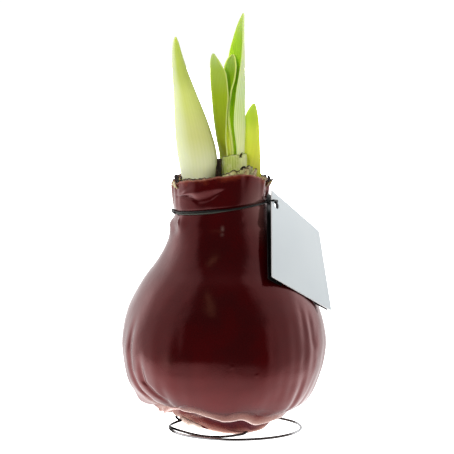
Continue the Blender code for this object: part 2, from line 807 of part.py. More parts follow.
def tie_point(angle):
    return skin_point(angle, NECK_RADIUS + TIE_RADIUS + GAP, tie_line(angle))


def tag_place(u, v):
    """A point of the card's middle layer, at shares u across and v down, and its normal."""
    top_left, top_right, bottom_right, bottom_left = (Vector(c) for c in TAG_CORNERS)
    left = top_left.lerp(bottom_left, v)
    right = top_right.lerp(bottom_right, v)
    down = (bottom_left - top_left).lerp(bottom_right - top_right, u)
    return left.lerp(right, u), down.cross(right - left).normalized()


def loop_route():
    """A loop from the tie in front of the card's edge and back through its hole."""
    u, v = TAG_HOLE_AT
    places = {"hole": tag_place(u, v), "edge": tag_place(0.0, v - LOOP_EDGE_UP)}
    outwards = (places["edge"][0] - places["hole"][0]).normalized()

    def place(row):
        point, normal = places[row[0]]
        return tuple(point + outwards * row[1] + normal * row[2])

    points = [place(row) for row in LOOP_FRONT] + [tuple(tie_point(LOOP_TIE_ANGLE)), place(LOOP_BACK)]
    return closed_route(points, LOOP_POINTS)


def make_tie():
    points = [tie_point(angle) for angle in range(0, 360, TIE_STEP)]
    tie = tube_object("tie", points, TIE_RADIUS, closed=True)
    join_to(tie, [tube_object("tag_loop", loop_route(), LOOP_RADIUS, closed=True)])
    return tie


def make_tag():
    """A square card with a punched hole, made flat in a unit square, then bent to its place."""
    shape = bmesh.new()
    bmesh.ops.create_grid(shape, x_segments=TAG_STEPS, y_segments=TAG_STEPS, size=0.5)
    bmesh.ops.translate(shape, verts=shape.verts, vec=(0.5, 0.5, -0.5))
    raised = bmesh.ops.extrude_face_region(shape, geom=shape.faces[:])["geom"]
    lifted = [part for part in raised if isinstance(part, bmesh.types.BMVert)]
    bmesh.ops.translate(shape, verts=lifted, vec=(0, 0, 1))
    mesh = bpy.data.meshes.new("tag")
    finish_mesh(shape, mesh, 30)
    tag = new_object("tag", mesh)
    bpy.ops.mesh.primitive_cylinder_add(
        vertices=TAG_HOLE_SIDES, radius=TAG_HOLE_RADIUS / TAG_SIDE, depth=3, location=(*TAG_HOLE_AT, 0)
    )
    cut_from(tag, bpy.context.active_object)
    for vertex in tag.data.vertices:
        point, normal = tag_place(vertex.co.x, vertex.co.y)
        vertex.co = point + normal * vertex.co.z * TAG_THICKNESS
    bent = bmesh.new()
    bent.from_mesh(tag.data)
    finish_mesh(bent, tag.data, 30)
    return tag


def build():
    clear_scene()
    wax = make_wax_coat()
    pieces = [wax, make_stand(wax), make_bulb(), make_bud(), make_sheath(), make_tie(), make_tag()]
    for name, (stations, fold) in LEAVES.items():
        pieces.append(make_leaf(name, stations, fold))
    for piece in pieces:
        give_material(piece)


build()
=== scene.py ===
# %% [markdown]
# # A waxed amaryllis bulb
# The real thing is a flower bulb that was dipped in dark red wax. The wax holds its water
# in, so it grows with no soil: a bud and four leaves come up from its cut neck, an elastic
# tie holds a card, and a ring of wire keeps it upright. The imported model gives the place
# and size of every piece. This lesson gives each one its fine shape and its finish.

# %% Load the frame
import math

import bpy
import numpy as np
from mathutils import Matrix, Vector


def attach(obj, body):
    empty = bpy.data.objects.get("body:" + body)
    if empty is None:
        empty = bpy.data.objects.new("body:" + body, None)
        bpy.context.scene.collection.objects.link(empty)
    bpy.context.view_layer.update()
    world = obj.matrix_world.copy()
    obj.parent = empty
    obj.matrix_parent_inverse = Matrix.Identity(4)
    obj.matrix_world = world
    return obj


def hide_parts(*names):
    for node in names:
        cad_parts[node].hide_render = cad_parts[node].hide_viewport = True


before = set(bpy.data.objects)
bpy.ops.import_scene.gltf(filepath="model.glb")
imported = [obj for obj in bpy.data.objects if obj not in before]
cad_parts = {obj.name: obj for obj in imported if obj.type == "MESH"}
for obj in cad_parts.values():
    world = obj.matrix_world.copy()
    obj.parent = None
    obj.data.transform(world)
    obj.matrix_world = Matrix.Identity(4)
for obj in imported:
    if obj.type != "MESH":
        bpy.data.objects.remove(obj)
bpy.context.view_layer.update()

# %% [markdown]
# ## Camera
# The photo was taken from far off with a long lens, a little above the object, so upright
# lines stay upright. A camera can be tuned by eye, but here its place follows from three
# numbers: its distance, how high it is raised, and how many pixels a metre takes.

# %% Place the camera
CAMERA_AIM = Vector((0.00155, 0.0, 0.0906))
CAMERA_DISTANCE = 1.8
CAMERA_RAISED = math.radians(8)
PIXELS_PER_METRE = 2261
PICTURE_WIDTH = 454
SENSOR_WIDTH = 36

camera_data = bpy.data.cameras.new("camera")
camera_data.sensor_width = SENSOR_WIDTH
camera_data.lens = CAMERA_DISTANCE * PIXELS_PER_METRE / PICTURE_WIDTH * SENSOR_WIDTH
camera = bpy.data.objects.new("camera", camera_data)
from_aim = Vector((0, -math.cos(CAMERA_RAISED), math.sin(CAMERA_RAISED)))
camera.location = CAMERA_AIM + CAMERA_DISTANCE * from_aim
camera.rotation_euler = (math.pi / 2 - CAMERA_RAISED, 0, 0)
bpy.context.scene.collection.objects.link(camera)
bpy.context.scene.camera = camera
bpy.context.scene.view_settings.view_transform = "Standard"
print("lens in mm:", round(camera_data.lens, 1))

# %% [markdown]
# ## Node helpers
# Every finish below is a small network of nodes. These few helpers keep each one short:
# they add a node, join it up, mix two colours, and turn a display colour into the linear
# values that the shader works with. A Mix node that is set to colour takes its two colours
# at its inputs 6 and 7, which is why those numbers stand in the helper.

# %% Helpers for nodes
def paint(red, green, blue):
    """A display colour, 0 to 255, as the linear colour that a shader takes."""
    shares = [c / 255 for c in (red, green, blue)]
    linear = [s / 12.92 if s <= 0.04045 else ((s + 0.055) / 1.055) ** 2.4 for s in shares]
    return (*linear, 1.0)


def plug(tree, socket, value):
    """Join a socket to another one, or set it to a plain value."""
    if isinstance(value, bpy.types.NodeSocket):
        tree.links.new(value, socket)
    else:
        socket.default_value = value


def calculate(tree, operation, *values):
    node = tree.nodes.new("ShaderNodeMath")
    node.operation = operation
    for socket, value in zip(node.inputs, values):
        plug(tree, socket, value)
    return node.outputs[0]


def remap(tree, value, low, high, to_low=0.0, to_high=1.0):
    """A smooth change from one value to another while the input goes from low to high."""
    node = tree.nodes.new("ShaderNodeMapRange")
    node.interpolation_type = "SMOOTHSTEP"
    for socket, number in zip(node.inputs, (value, low, high, to_low, to_high)):
        plug(tree, socket, number)
    return node.outputs[0]


def mix_colours(tree, share, first, second, blend="MIX"):
    node = tree.nodes.new("ShaderNodeMix")
    node.data_type = "RGBA"
    node.blend_type = blend
    plug(tree, node.inputs[0], share)
    plug(tree, node.inputs[6], first)
    plug(tree, node.inputs[7], second)
    return node.outputs[2]


def tint(tree, colour, mask, strength, other):
    """Mix a share of another colour in where a mask is 1."""
    return mix_colours(tree, calculate(tree, "MULTIPLY", mask, strength), colour, other)


def ramp(tree, value, stops):
    """A colour ramp from (place, colour) pairs."""
    node = tree.nodes.new("ShaderNodeValToRGB")
    node.color_ramp.interpolation = "EASE"
    plug(tree, node.inputs[0], value)
    while len(node.color_ramp.elements) < len(stops):
        node.color_ramp.elements.new(1.0)
    for element, (place, colour) in zip(node.color_ramp.elements, stops):
        element.position = place
        element.color = colour
    return node.outputs[0]


def attribute(tree, name):
    """A number that the mesh carries on each point, such as a share of a leaf's length."""
    node = tree.nodes.new("ShaderNodeAttribute")
    node.attribute_name = name
    return node.outputs["Fac"]


def noise(tree, scale, detail, place=None):
    node = tree.nodes.new("ShaderNodeTexNoise")
    if place is None:
        place = tree.nodes.new("ShaderNodeTexCoord").outputs["Object"]
    plug(tree, node.inputs["Vector"], place)
    plug(tree, node.inputs["Scale"], scale)
    plug(tree, node.inputs["Detail"], detail)
    return node.outputs["Fac"]


def raise_surface(tree, shader, height, strength, distance):
    """Let a height, such as a noise or a vein's line, tip the shader's normal."""
    bump = tree.nodes.new("ShaderNodeBump")
    bump.inputs["Strength"].default_value = strength
    bump.inputs["Distance"].default_value = distance
    plug(tree, bump.inputs["Height"], height)
    plug(tree, shader.inputs["Normal"], bump.outputs[0])


print("a middle grey of 128 is", round(paint(128, 128, 128)[0], 3), "as a linear value")

# %% [markdown]
# ## The room
# Wax and wire show what stands round them, so the light is most of the finish. The photo
# was shot against a very bright white back, with soft light from the sides and a dark room
# in front and above. Several soft boxes could give that, but one sky whose brightness
# climbs in steps from front to back is simpler, and gives the same soft bands on the wax.
# Each direction of the sky is first turned into two angles: how far it lies from the front,
# and how high it is raised.

# %% Angles of the sky
world = bpy.data.worlds.new("white room")
bpy.context.scene.world = world
world.use_nodes = True
sky = world.node_tree
direction = sky.nodes.new("ShaderNodeSeparateXYZ")
sky.links.new(sky.nodes.new("ShaderNodeTexCoord").outputs["Generated"], direction.inputs[0])
to_front = calculate(sky, "MULTIPLY", direction.outputs[1], -1.0)
turned = calculate(sky, "DEGREES", calculate(sky, "ARCTAN2", direction.outputs[0], to_front))
raised = calculate(sky, "DEGREES", calculate(sky, "ARCSINE", direction.outputs[2]))
sideways = calculate(sky, "ABSOLUTE", turned)
print("nodes that measure the sky:", len(sky.nodes))

# %% [markdown]
# The brightness starts dark in front, and climbs at the sides and again at the white back,
# which only reaches so high. Straight behind the bulb, where the wax's outline shows it,
# the back is a little less bright in reflections.

# %% Brightness from front to back
# Each step: where it starts and ends, in degrees from the front, and how much it adds.
ROOM_STEPS = ((50, 68, 0.44), (70, 105, 0.28))
BACK_STEP = (100, 128, 1.1)
BACK_FALL = (124, 142, 0.45)
BACK_TOP = (10, 40)
FRONT_LEVEL = 0.035

rays = sky.nodes.new("ShaderNodeLightPath")
glossy = rays.outputs["Is Glossy Ray"]
level = FRONT_LEVEL
for step_from, step_to, gain in ROOM_STEPS:
    level = calculate(sky, "ADD", remap(sky, sideways, step_from, step_to, 0.0, gain), level)
back_gain = remap(sky, raised, *BACK_TOP, BACK_STEP[2], 0.0)
level = calculate(sky, "ADD", remap(sky, sideways, *BACK_STEP[:2], 0.0, back_gain), level)
fall = calculate(sky, "MULTIPLY", remap(sky, raised, *BACK_TOP, BACK_FALL[2], 0.0), glossy)
level = calculate(sky, "SUBTRACT", level, remap(sky, sideways, *BACK_FALL[:2], 0.0, fall))
all_steps = (*ROOM_STEPS, BACK_STEP)
print("room brightness at the back:", FRONT_LEVEL + sum(step[2] for step in all_steps))

# %% [markdown]
# The dark is for reflections only. The camera sees plain white behind the bulb, and the
# leaves still get some light from the front and from above. The Light Path node says which
# kind of ray asks, so one sky can give each its own answer.

# %% What each ray sees
FRONT_FILL = 0.55
CEILING_SPAN = (48, 88)
CEILING_GLOSS = 0.13
CEILING_FILL = 1.1
BACKDROP_STRENGTH = 1.05

front_floor = remap(sky, glossy, 0.0, 1.0, FRONT_FILL, 0.0)
ceiling = remap(sky, glossy, 0.0, 1.0, CEILING_FILL, CEILING_GLOSS)
level = calculate(sky, "MAXIMUM", level, front_floor)
level = remap(sky, raised, *CEILING_SPAN, level, ceiling)
seen = remap(sky, rays.outputs["Is Camera Ray"], 0.0, 1.0, level, BACKDROP_STRENGTH)
grey = sky.nodes.new("ShaderNodeCombineColor")
for socket in grey.inputs[:3]:
    sky.links.new(seen, socket)
print("the ceiling starts", CEILING_SPAN[0], "degrees up")

# %% [markdown]
# A warm lamp stand in the dark room shows as a faint streak in the wax. It is an oval spot
# of the sky: its middle is taken off each direction, the rest is turned to lie along the
# lamp, and is measured in half lengths and half widths.

# %% A lamp stand in the dark
LAMP_TURN = -23
LAMP_RAISED = 47
LAMP_SLANT = math.radians(-25)
LAMP_HALF_LENGTH = 15
LAMP_HALF_WIDTH = 4
LAMP_EDGE = (0.4, 1.6)
LAMP_COLOUR = (0.36, 0.42, 0.24, 1.0)

from_lamp = sky.nodes.new("ShaderNodeCombineXYZ")
plug(sky, from_lamp.inputs[0], calculate(sky, "SUBTRACT", turned, LAMP_TURN))
plug(sky, from_lamp.inputs[1], calculate(sky, "SUBTRACT", raised, LAMP_RAISED))
along_lamp = sky.nodes.new("ShaderNodeVectorRotate")
along_lamp.rotation_type = "Z_AXIS"
plug(sky, along_lamp.inputs["Vector"], from_lamp.outputs[0])
plug(sky, along_lamp.inputs["Angle"], -LAMP_SLANT)
lamp_scale = sky.nodes.new("ShaderNodeVectorMath")
lamp_scale.operation = "DIVIDE"
plug(sky, lamp_scale.inputs[0], along_lamp.outputs[0])
plug(sky, lamp_scale.inputs[1], (LAMP_HALF_LENGTH, LAMP_HALF_WIDTH, 1.0))
lamp_length = sky.nodes.new("ShaderNodeVectorMath")
lamp_length.operation = "LENGTH"
plug(sky, lamp_length.inputs[0], lamp_scale.outputs[0])
in_lamp = remap(sky, lamp_length.outputs["Value"], *LAMP_EDGE, 1.0, 0.0)
room_colour = tint(sky, grey.outputs[0], in_lamp, glossy, LAMP_COLOUR)
sky.links.new(room_colour, sky.nodes["Background"].inputs["Color"])
print("lamp stand at", LAMP_TURN, "and", LAMP_RAISED, "degrees")

# %% [markdown]
# The bud and the leaves are lit from the front too. A soft lamp with a narrow cone does it,
# like a studio lamp with a snoot, so it brightens them and leaves the wax below as dark as
# it was. Reflections leave the lamp out, because the wax would show it as a hard dot.

# %% Light the leaves
SNOOT_PLACE = Vector((-0.35, -1.25, 0.42))
SNOOT_AIM = Vector((-0.003, 0.0, 0.153))
SNOOT_HALF_WIDTH = 0.056
SNOOT_ENERGY = 34.0
SNOOT_RADIUS = 0.025
SNOOT_BLEND = 0.25

snoot_data = bpy.data.lights.new("snoot", "SPOT")
snoot_data.energy = SNOOT_ENERGY
snoot_data.shadow_soft_size = SNOOT_RADIUS
snoot_data.spot_blend = SNOOT_BLEND
snoot_data.spot_size = 2 * math.atan(SNOOT_HALF_WIDTH / (SNOOT_AIM - SNOOT_PLACE).length)
snoot = bpy.data.objects.new("snoot", snoot_data)
snoot.location = SNOOT_PLACE
snoot.rotation_euler = (SNOOT_AIM - SNOOT_PLACE).to_track_quat("-Z", "Y").to_euler()
snoot.visible_glossy = False
bpy.context.scene.collection.objects.link(snoot)
print("snoot's cone, degrees:", round(math.degrees(snoot_data.spot_size), 1))

# %% [markdown]
# ## The table
# The table is a white sheet lit from below, as studios use to lose every shadow. Its front
# fades out into the white room, so the belly of the wax reflects white low down and the
# dark room above it, with a soft edge between. A plane with four corners is enough for it.

# %% Lay the table
TABLE_FRONT = -0.300
TABLE_BACK = 1.6
TABLE_HALF_WIDTH = 1.6

table_mesh = bpy.data.meshes.new("table")
table_corners = [
    (-TABLE_HALF_WIDTH, TABLE_FRONT, 0),
    (TABLE_HALF_WIDTH, TABLE_FRONT, 0),
    (TABLE_HALF_WIDTH, TABLE_BACK, 0),
    (-TABLE_HALF_WIDTH, TABLE_BACK, 0),
]
table_mesh.from_pydata(table_corners, [], [(0, 1, 2, 3)])
table = bpy.data.objects.new("table", table_mesh)
bpy.context.scene.collection.objects.link(table)
print("table runs from", TABLE_FRONT, "to", TABLE_BACK, "metres")

# %% [markdown]
# Each material has one Principled shader. A value that is the same all over is set straight
# on its socket, and what changes over the surface is plugged in afterwards. The sheet's
# light is an emission that is stronger behind the bulb. Its reflection in the wax is dimmer,
# most of all under the bulb, where the real sheet lies in the bulb's own shade.

# %% Table finish
SHEET_COLOUR = (0.3, 0.3, 0.3, 1.0)
TABLE_FADE = (0.050, 0.190)
TABLE_FADE_CENTRE = -0.030
TABLE_GLOW = (1.25, 3.6)
TABLE_GLOW_REACH = (-0.090, 0.060)
TABLE_IN_GLOSS = 0.68
SHADE_REACH = (0.018, 0.050)
SHADE = 0.12
FAR_REACH = (-0.005, 0.060)
FAR_SHARE = 0.5


def new_finish(name, colour, roughness, **plain):
    """A material with one Principled shader. Plain values go straight to its sockets."""
    material = bpy.data.materials.new(name)
    material.use_nodes = True
    shader = material.node_tree.nodes["Principled BSDF"]
    plug(material.node_tree, shader.inputs["Base Color"], colour)
    plug(material.node_tree, shader.inputs["Roughness"], roughness)
    for socket, value in plain.items():
        shader.inputs[socket.replace("_", " ")].default_value = value
    return material, material.node_tree, shader


def distance_from_foot(tree, x, y):
    squares = [calculate(tree, "MULTIPLY", side, side) for side in (x, y)]
    return calculate(tree, "SQRT", calculate(tree, "ADD", *squares))


white_sheet, tree, shader = new_finish("white sheet", SHEET_COLOUR, 0.8, Emission_Color=(1, 1, 1, 1))
spot = tree.nodes.new("ShaderNodeSeparateXYZ")
plug(tree, spot.inputs[0], tree.nodes.new("ShaderNodeTexCoord").outputs["Object"])
glow = remap(tree, spot.outputs[1], *TABLE_GLOW_REACH, *TABLE_GLOW)
from_foot = distance_from_foot(tree, spot.outputs[0], spot.outputs[1])
shade = remap(tree, from_foot, *SHADE_REACH, SHADE, 1.0)
far = remap(tree, spot.outputs[1], *FAR_REACH, TABLE_IN_GLOSS, TABLE_IN_GLOSS * FAR_SHARE)
mirrored = calculate(tree, "MULTIPLY", shade, far)
sheet_rays = tree.nodes.new("ShaderNodeLightPath")
in_gloss = remap(tree, sheet_rays.outputs["Is Glossy Ray"], 0.0, 1.0, 1.0, mirrored)
plug(tree, shader.inputs["Emission Strength"], calculate(tree, "MULTIPLY", glow, in_gloss))
across = calculate(tree, "SUBTRACT", spot.outputs[0], TABLE_FADE_CENTRE)
away_in_front = distance_from_foot(tree, across, calculate(tree, "MINIMUM", spot.outputs[1], 0.0))
plug(tree, shader.inputs["Alpha"], remap(tree, away_in_front, *TABLE_FADE, 1.0, 0.0))
table_mesh.materials.append(white_sheet)
print("table fades out from the foot, in metres:", TABLE_FADE)

# %% [markdown]
# ## Mesh helpers
# Every piece is a stack of rings or rows of points worked out with numpy, because a grid
# is easy to shape by formula and shades smoothly. The helpers join a grid into faces, turn
# all faces outwards, and hang numbers on the points for the finishes to read.

# %% Helpers for meshes
def grid_faces(rows, columns, wrap_rows=False):
    """Faces of a grid of points whose columns run round in a ring."""
    i, j = np.meshgrid(np.arange(rows if wrap_rows else rows - 1), np.arange(columns), indexing="ij")
    up = (i + 1) % rows
    right = (j + 1) % columns
    corners = [i * columns + j, i * columns + right, up * columns + right, up * columns + j]
    quads = np.stack(corners, axis=-1)
    return [tuple(quad) for quad in quads.reshape(-1, 4).tolist()]


def fan_cap(loop, middle):
    return [(loop[k], loop[(k + 1) % len(loop)], middle) for k in range(len(loop))]


def ladder_cap(loop):
    """A cap for a flat loop whose second half runs back along its first."""
    last = len(loop) - 1
    return [(loop[k], loop[k + 1], loop[last - k - 1], loop[last - k]) for k in range(len(loop) // 2 - 1)]


def solid_grid(points, cap):
    """Points, faces and row numbers of a closed body: cap is fan, ladder or round."""
    rows, columns, _ = points.shape
    flat = points.reshape(-1, 3)
    if cap == "round":
        return flat, grid_faces(rows, columns, wrap_rows=True)
    faces = grid_faces(rows, columns)
    first = list(range(columns))
    last = list(range((rows - 1) * columns, rows * columns))
    if cap == "ladder":
        return flat, faces + ladder_cap(first[::-1]) + ladder_cap(last)
    flat = np.vstack([flat, points[0].mean(axis=0), points[-1].mean(axis=0)])
    return flat, faces + fan_cap(first[::-1], len(flat) - 2) + fan_cap(last, len(flat) - 1)


def volume_of(points, faces):
    corners = np.array([(f[0], f[k], f[k + 1]) for f in faces for k in range(1, len(f) - 1)])
    a, b, c = (points[corners[:, k]] for k in range(3))
    return float(np.einsum("ij,ij->i", a, np.cross(b, c)).sum() / 6)


def add_piece(name, parts, node, material):
    """One object from closed parts, each (points grid, cap, values). It stands for a node."""
    all_points, all_faces, all_values = [], [], {}
    for grid, cap, values in parts:
        points, faces = solid_grid(grid, cap)
        if volume_of(points, faces) < 0:
            faces = [face[::-1] for face in faces]
        offset = sum(len(p) for p in all_points)
        all_points.append(points)
        all_faces += [tuple(v + offset for v in face) for face in faces]
        for key, value in values.items():
            spread = np.broadcast_to(value, grid.shape[:2]).reshape(-1)
            extra = np.full(len(points) - spread.size, spread[0] if spread.size else 0.0)
            all_values.setdefault(key, []).append(np.concatenate([spread, extra]))
    mesh = bpy.data.meshes.new(name)
    mesh.from_pydata(np.vstack(all_points).tolist(), [], all_faces)
    for key, values in all_values.items():
        mesh.attributes.new(key, "FLOAT", "POINT").data.foreach_set("value", np.concatenate(values))
    mesh.shade_smooth()
    mesh.materials.append(material)
    piece = bpy.data.objects.new(name, mesh)
    bpy.context.scene.collection.objects.link(piece)
    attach(piece, "root")
    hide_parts(node)
    triangles = sum(len(face) - 2 for face in all_faces)
    print(f"{name}: {triangles} triangles, standing for {node}")
    return piece


print("a band of 4 columns between 2 rows has", len(grid_faces(2, 4)), "faces")

# %% [markdown]
# ## Smooth lines
# Natural outlines come from a few measured points with a smooth line through them. A spline
# swings past its points, but the line here never overshoots them, so a flat stretch stays
# flat.

# %% Smooth lines
def hermite(knots, values, slopes, at):
    i = np.clip(np.searchsorted(knots, at, side="right") - 1, 0, len(knots) - 2)
    step = knots[i + 1] - knots[i]
    t = (at - knots[i]) / step
    if values.ndim > 1:
        step = step[:, None]
        t = t[:, None]
    return (
        (1 + 2 * t) * (1 - t) ** 2 * values[i]
        + t * (1 - t) ** 2 * step * slopes[i]
        + t * t * (3 - 2 * t) * values[i + 1]
        + t * t * (t - 1) * step * slopes[i + 1]
    )


def flow(knots, values, at):
    """A smooth line through values at rising knots, which never overshoots them."""
    knots = np.asarray(knots, float)
    values = np.asarray(values, float)
    at = np.clip(np.asarray(at, float), knots[0], knots[-1])
    slopes = np.diff(values) / np.diff(knots)
    same_way = slopes[:-1] * slopes[1:] > 0
    total = np.where(same_way, slopes[:-1] + slopes[1:], 1.0)
    inner = np.where(same_way, 2 * slopes[:-1] * slopes[1:] / total, 0.0)
    return hermite(knots, values, np.concatenate([[slopes[0]], inner, [slopes[-1]]]), at)


def smooth_route(points, count):
    """Points along a smooth line through a few chosen ones."""
    points = np.asarray(points, float)
    run = np.concatenate([[0], np.cumsum(np.linalg.norm(np.diff(points, axis=0), axis=1))])
    return hermite(run, points, np.gradient(points, run, axis=0), np.linspace(0, run[-1], count))


def closed_route(points, count):
    laps = smooth_route(list(points) * 3 + list(points)[:1], 3 * count + 1)
    return laps[count : 2 * count]


def column(table, index):
    return [row[index] for row in table]


def table_at(table, at):
    return flow(column(table, 0), column(table, 1), at)


def around(table, angle):
    """A value that runs smoothly round the full circle, read at angles in degrees."""
    knots = column(table, 0)
    knots = [a - 360 for a in knots] + knots + [a + 360 for a in knots]
    return flow(knots, column(table, 1) * 3, np.asarray(angle, float) % 360)


print("half way up a smooth line from 0 to 1:", float(table_at(((0, 0), (1, 1)), 0.5)))

# %% [markdown]
# Soft steps and bells shape what is rounded, and random waves give the dents and the torn
# edges. The waves always come from the same seeds, so every run gives the same bulb.

# %% Steps, bells and waves
def smooth_step(low, high, value):
    t = np.clip((value - low) / (high - low), 0.0, 1.0)
    return t * t * (3 - 2 * t)


def within(value, span):
    rise_from, rise_to, fall_from, fall_to = span
    return smooth_step(rise_from, rise_to, value) * (1 - smooth_step(fall_from, fall_to, value))


def bell(value, centre, width):
    return np.exp(-(((value - centre) / width) ** 2))


def angle_off(angle, centre):
    return (np.asarray(angle, float) - centre + 180) % 360 - 180


def ragged(angle, seed, slowest, fastest, count=10):
    """A random closed line, about -1 to 1, from whole waves round the circle."""
    draw = np.random.default_rng(seed)
    waves = draw.integers(slowest, fastest + 1, count)
    starts = draw.uniform(0, 2 * math.pi, count)
    turns = np.radians(np.asarray(angle, float))[..., None]
    return np.sin(turns * waves + starts).sum(axis=-1) / math.sqrt(2 * count)


def rolling(points, seed, wavelength, count=24):
    """A random field in space, about -1 to 1, with swells of one wavelength."""
    draw = np.random.default_rng(seed)
    ways = draw.normal(size=(count, 3))
    ways /= np.linalg.norm(ways, axis=1)[:, None]
    starts = draw.uniform(0, 2 * math.pi, count)
    turns = points @ ways.T * (2 * math.pi / wavelength)
    return np.sin(turns + starts).sum(axis=-1) / math.sqrt(2 * count)


print("spread of a ragged line:", round(float(ragged(np.arange(360), 1, 5, 20).std()), 2))

# %% [markdown]
# ## Tubes
# The wire, the elastic and the curls of torn wax are tubes along a route. A curve with a
# bevel could be used, but a mesh tube can swell and carries numbers for its finish. Its
# rings need a frame that doesn't twist, so each is turned from the one before it by the
# least amount. A closed tube spreads what is left over evenly along its way.

# %% Tubes along a route
def tube_grid(route, radius, sides=16, closed=False, swell=None):
    """Rings of points round a route. Swell widens or narrows it at each point."""
    route = np.asarray(route, float)
    ahead = np.roll(route, -1, axis=0) - np.roll(route, 1, axis=0) if closed else np.gradient(route, axis=0)
    ahead /= np.linalg.norm(ahead, axis=1)[:, None]
    side = np.cross(ahead[0], (0.31, 0.22, 0.93))
    rings = []
    sides_at = []
    for direction_here in ahead:
        side = side - direction_here * (side @ direction_here)
        side /= np.linalg.norm(side)
        sides_at.append(side)
    if closed:
        sides_at = untwist(ahead, sides_at)
    widths = np.full(len(route), radius) if swell is None else radius * np.asarray(swell)
    turn = np.linspace(0, 2 * math.pi, sides, endpoint=False)[:, None]
    for point, direction_here, side_here, width in zip(route, ahead, sides_at, widths):
        other = np.cross(direction_here, side_here)
        rings.append(point + width * (np.cos(turn) * side_here + np.sin(turn) * other))
    return np.array(rings), "round" if closed else "fan"


def untwist(ahead, sides_at):
    """Spread the twist that a closed route has left over evenly along it."""
    first = sides_at[0] - ahead[-1] * (sides_at[0] @ ahead[-1])
    twist = math.atan2(np.cross(sides_at[-1], first) @ ahead[-1], sides_at[-1] @ first)
    turned = []
    for k, (direction_here, side_here) in enumerate(zip(ahead, sides_at)):
        share = twist * k / len(ahead)
        other = np.cross(direction_here, side_here)
        turned.append(side_here * math.cos(share) + other * math.sin(share))
    return turned


print("a short tube has", tube_grid([(0, 0, 0), (0, 0, 1)], 0.1)[0].shape[1], "points a ring")

# %% [markdown]
# ## The bulb's outline
# The wax follows the bulb like a skin, so one outline gives the outside of the wax, its
# inside and the bulb. It is a turned shape, given by heights and radii, with slow swells
# and with grooves between its lobes. These values follow the solid model's.

# %% Outline of the body
GAP = 0.0003
WAX_THICKNESS = 0.0014
BODY_OUTLINE = (
    (0.0125, 0.0325),
    (0.0150, 0.0368),
    (0.0190, 0.0400),
    (0.0250, 0.0427),
    (0.0310, 0.0443),
    (0.0385, 0.0450),
    (0.0465, 0.0442),
    (0.0545, 0.0423),
    (0.0620, 0.0389),
    (0.0690, 0.0346),
    (0.0745, 0.0303),
    (0.0805, 0.0266),
    (0.0860, 0.0243),
    (0.0900, 0.0231),
    (0.0935, 0.0218),
)
print("wax is", 2000 * max(column(BODY_OUTLINE, 1)), "mm wide before its swells")

# %% [markdown]
# Under the belly the wax pooled into a foot, and rolled up where the bulb was set down. The
# foot is a few steps of radius and height round a flat spot, and it rises to the left. The
# crease over the roll goes up and down round the bulb. The hollow holds the bulb itself.

# %% The foot and the crease
# Each step of the foot: radius, height, and how far it is drawn to the flat spot.
FOOT_STEPS = (
    (0.0090, 0.0000, 1.0),
    (0.0142, 0.0012, 0.7),
    (0.0194, 0.0036, 0.1),
    (0.0214, 0.0053, 0.0),
    (0.0240, 0.0070, 0.0),
    (0.0260, 0.0084, 0.0),
    (0.0272, 0.0095, 0.0),
    (0.0287, 0.0108, 0.0),
)
FLAT_SPOT = (0.0050, -0.0040)
FOOT_LEFT_RISE = 0.0018
FOOT_SPAN = (0.0, 0.003, 0.004, 0.009)
CREASE_SPAN = (0.0, 0.006, 0.010, 0.026)
CREASE_RISE = (
    (0, -0.0024),
    (30, -0.0015),
    (60, -0.0004),
    (90, 0.0003),
    (125, -0.0003),
    (150, 0.0006),
    (180, 0.0003),
    (205, 0.0016),
    (225, 0.0022),
    (248, 0.0014),
    (263, 0.0000),
    (275, -0.0005),
    (286, 0.0004),
    (298, 0.0000),
    (311, -0.0016),
    (335, -0.0018),
)
HOLLOW_BASE = ((0.0080, 0.0078), (0.0160, 0.0082), (0.0225, 0.0096), (0.0280, 0.0119))
HOLLOW_WALL_FROM = 0.0145
print("the foot is", round(2000 * FOOT_STEPS[-1][0], 1), "mm wide where the belly starts")

# %% [markdown]
# The neck stands a little to the left of the bulb's axis. Its rim is torn, and is highest
# in front and lowest at the left.

# %% The neck and its rim
NECK_RADIUS = 0.0210
RIM_RADIUS = 0.0219
NECK_SHIFT = ((0.085, 0.0), (0.096, -0.0010), (0.115, -0.0013))
RIM_HEIGHT = (
    (0, 0.1111),
    (35, 0.1120),
    (90, 0.1128),
    (145, 0.1118),
    (180, 0.1092),
    (200, 0.1108),
    (222, 0.1130),
    (252, 0.1144),
    (266, 0.1158),
    (281, 0.1163),
    (293, 0.1165),
    (306, 0.1161),
    (318, 0.1148),
    (335, 0.1128),
)
rim_heights = column(RIM_HEIGHT, 1)
print("the rim rises by", round(1000 * (max(rim_heights) - min(rim_heights)), 1), "mm")

# %% [markdown]
# The lobes of the bulb meet in grooves, and the wax sinks into them. A straight groove is
# an angle with a depth and a width. Some folds wander as they run down, so each of those
# is a short path of heights and angles.

# %% Grooves and folds
# Each groove: angle, depth, half width in degrees, and its lowest and highest place.
GROOVES = (
    (194, 0.0003, 4, 0.012, 0.060),
    (306, 0.0002, 6, 0.010, 0.045),
    (322, 0.0002, 5, 0.012, 0.060),
    (332, 0.0002, 5, 0.012, 0.062),
    (346, 0.0003, 5, 0.012, 0.055),
    (18, 0.0009, 5, 0.008, 0.055),
    (47, 0.0006, 6, 0.010, 0.060),
    (78, 0.0010, 5, 0.008, 0.050),
    (104, 0.0007, 6, 0.010, 0.062),
    (128, 0.0011, 5, 0.008, 0.052),
    (160, 0.0008, 5, 0.010, 0.058),
)
GROOVE_START = 0.004
GROOVE_FADE = 0.022
LEFT_FOLD = (
    (0.0120, 211),
    (0.0164, 210.5),
    (0.0182, 208.5),
    (0.0203, 205),
    (0.0234, 203.5),
    (0.0300, 201.5),
    (0.0410, 203.5),
    (0.0520, 206),
)
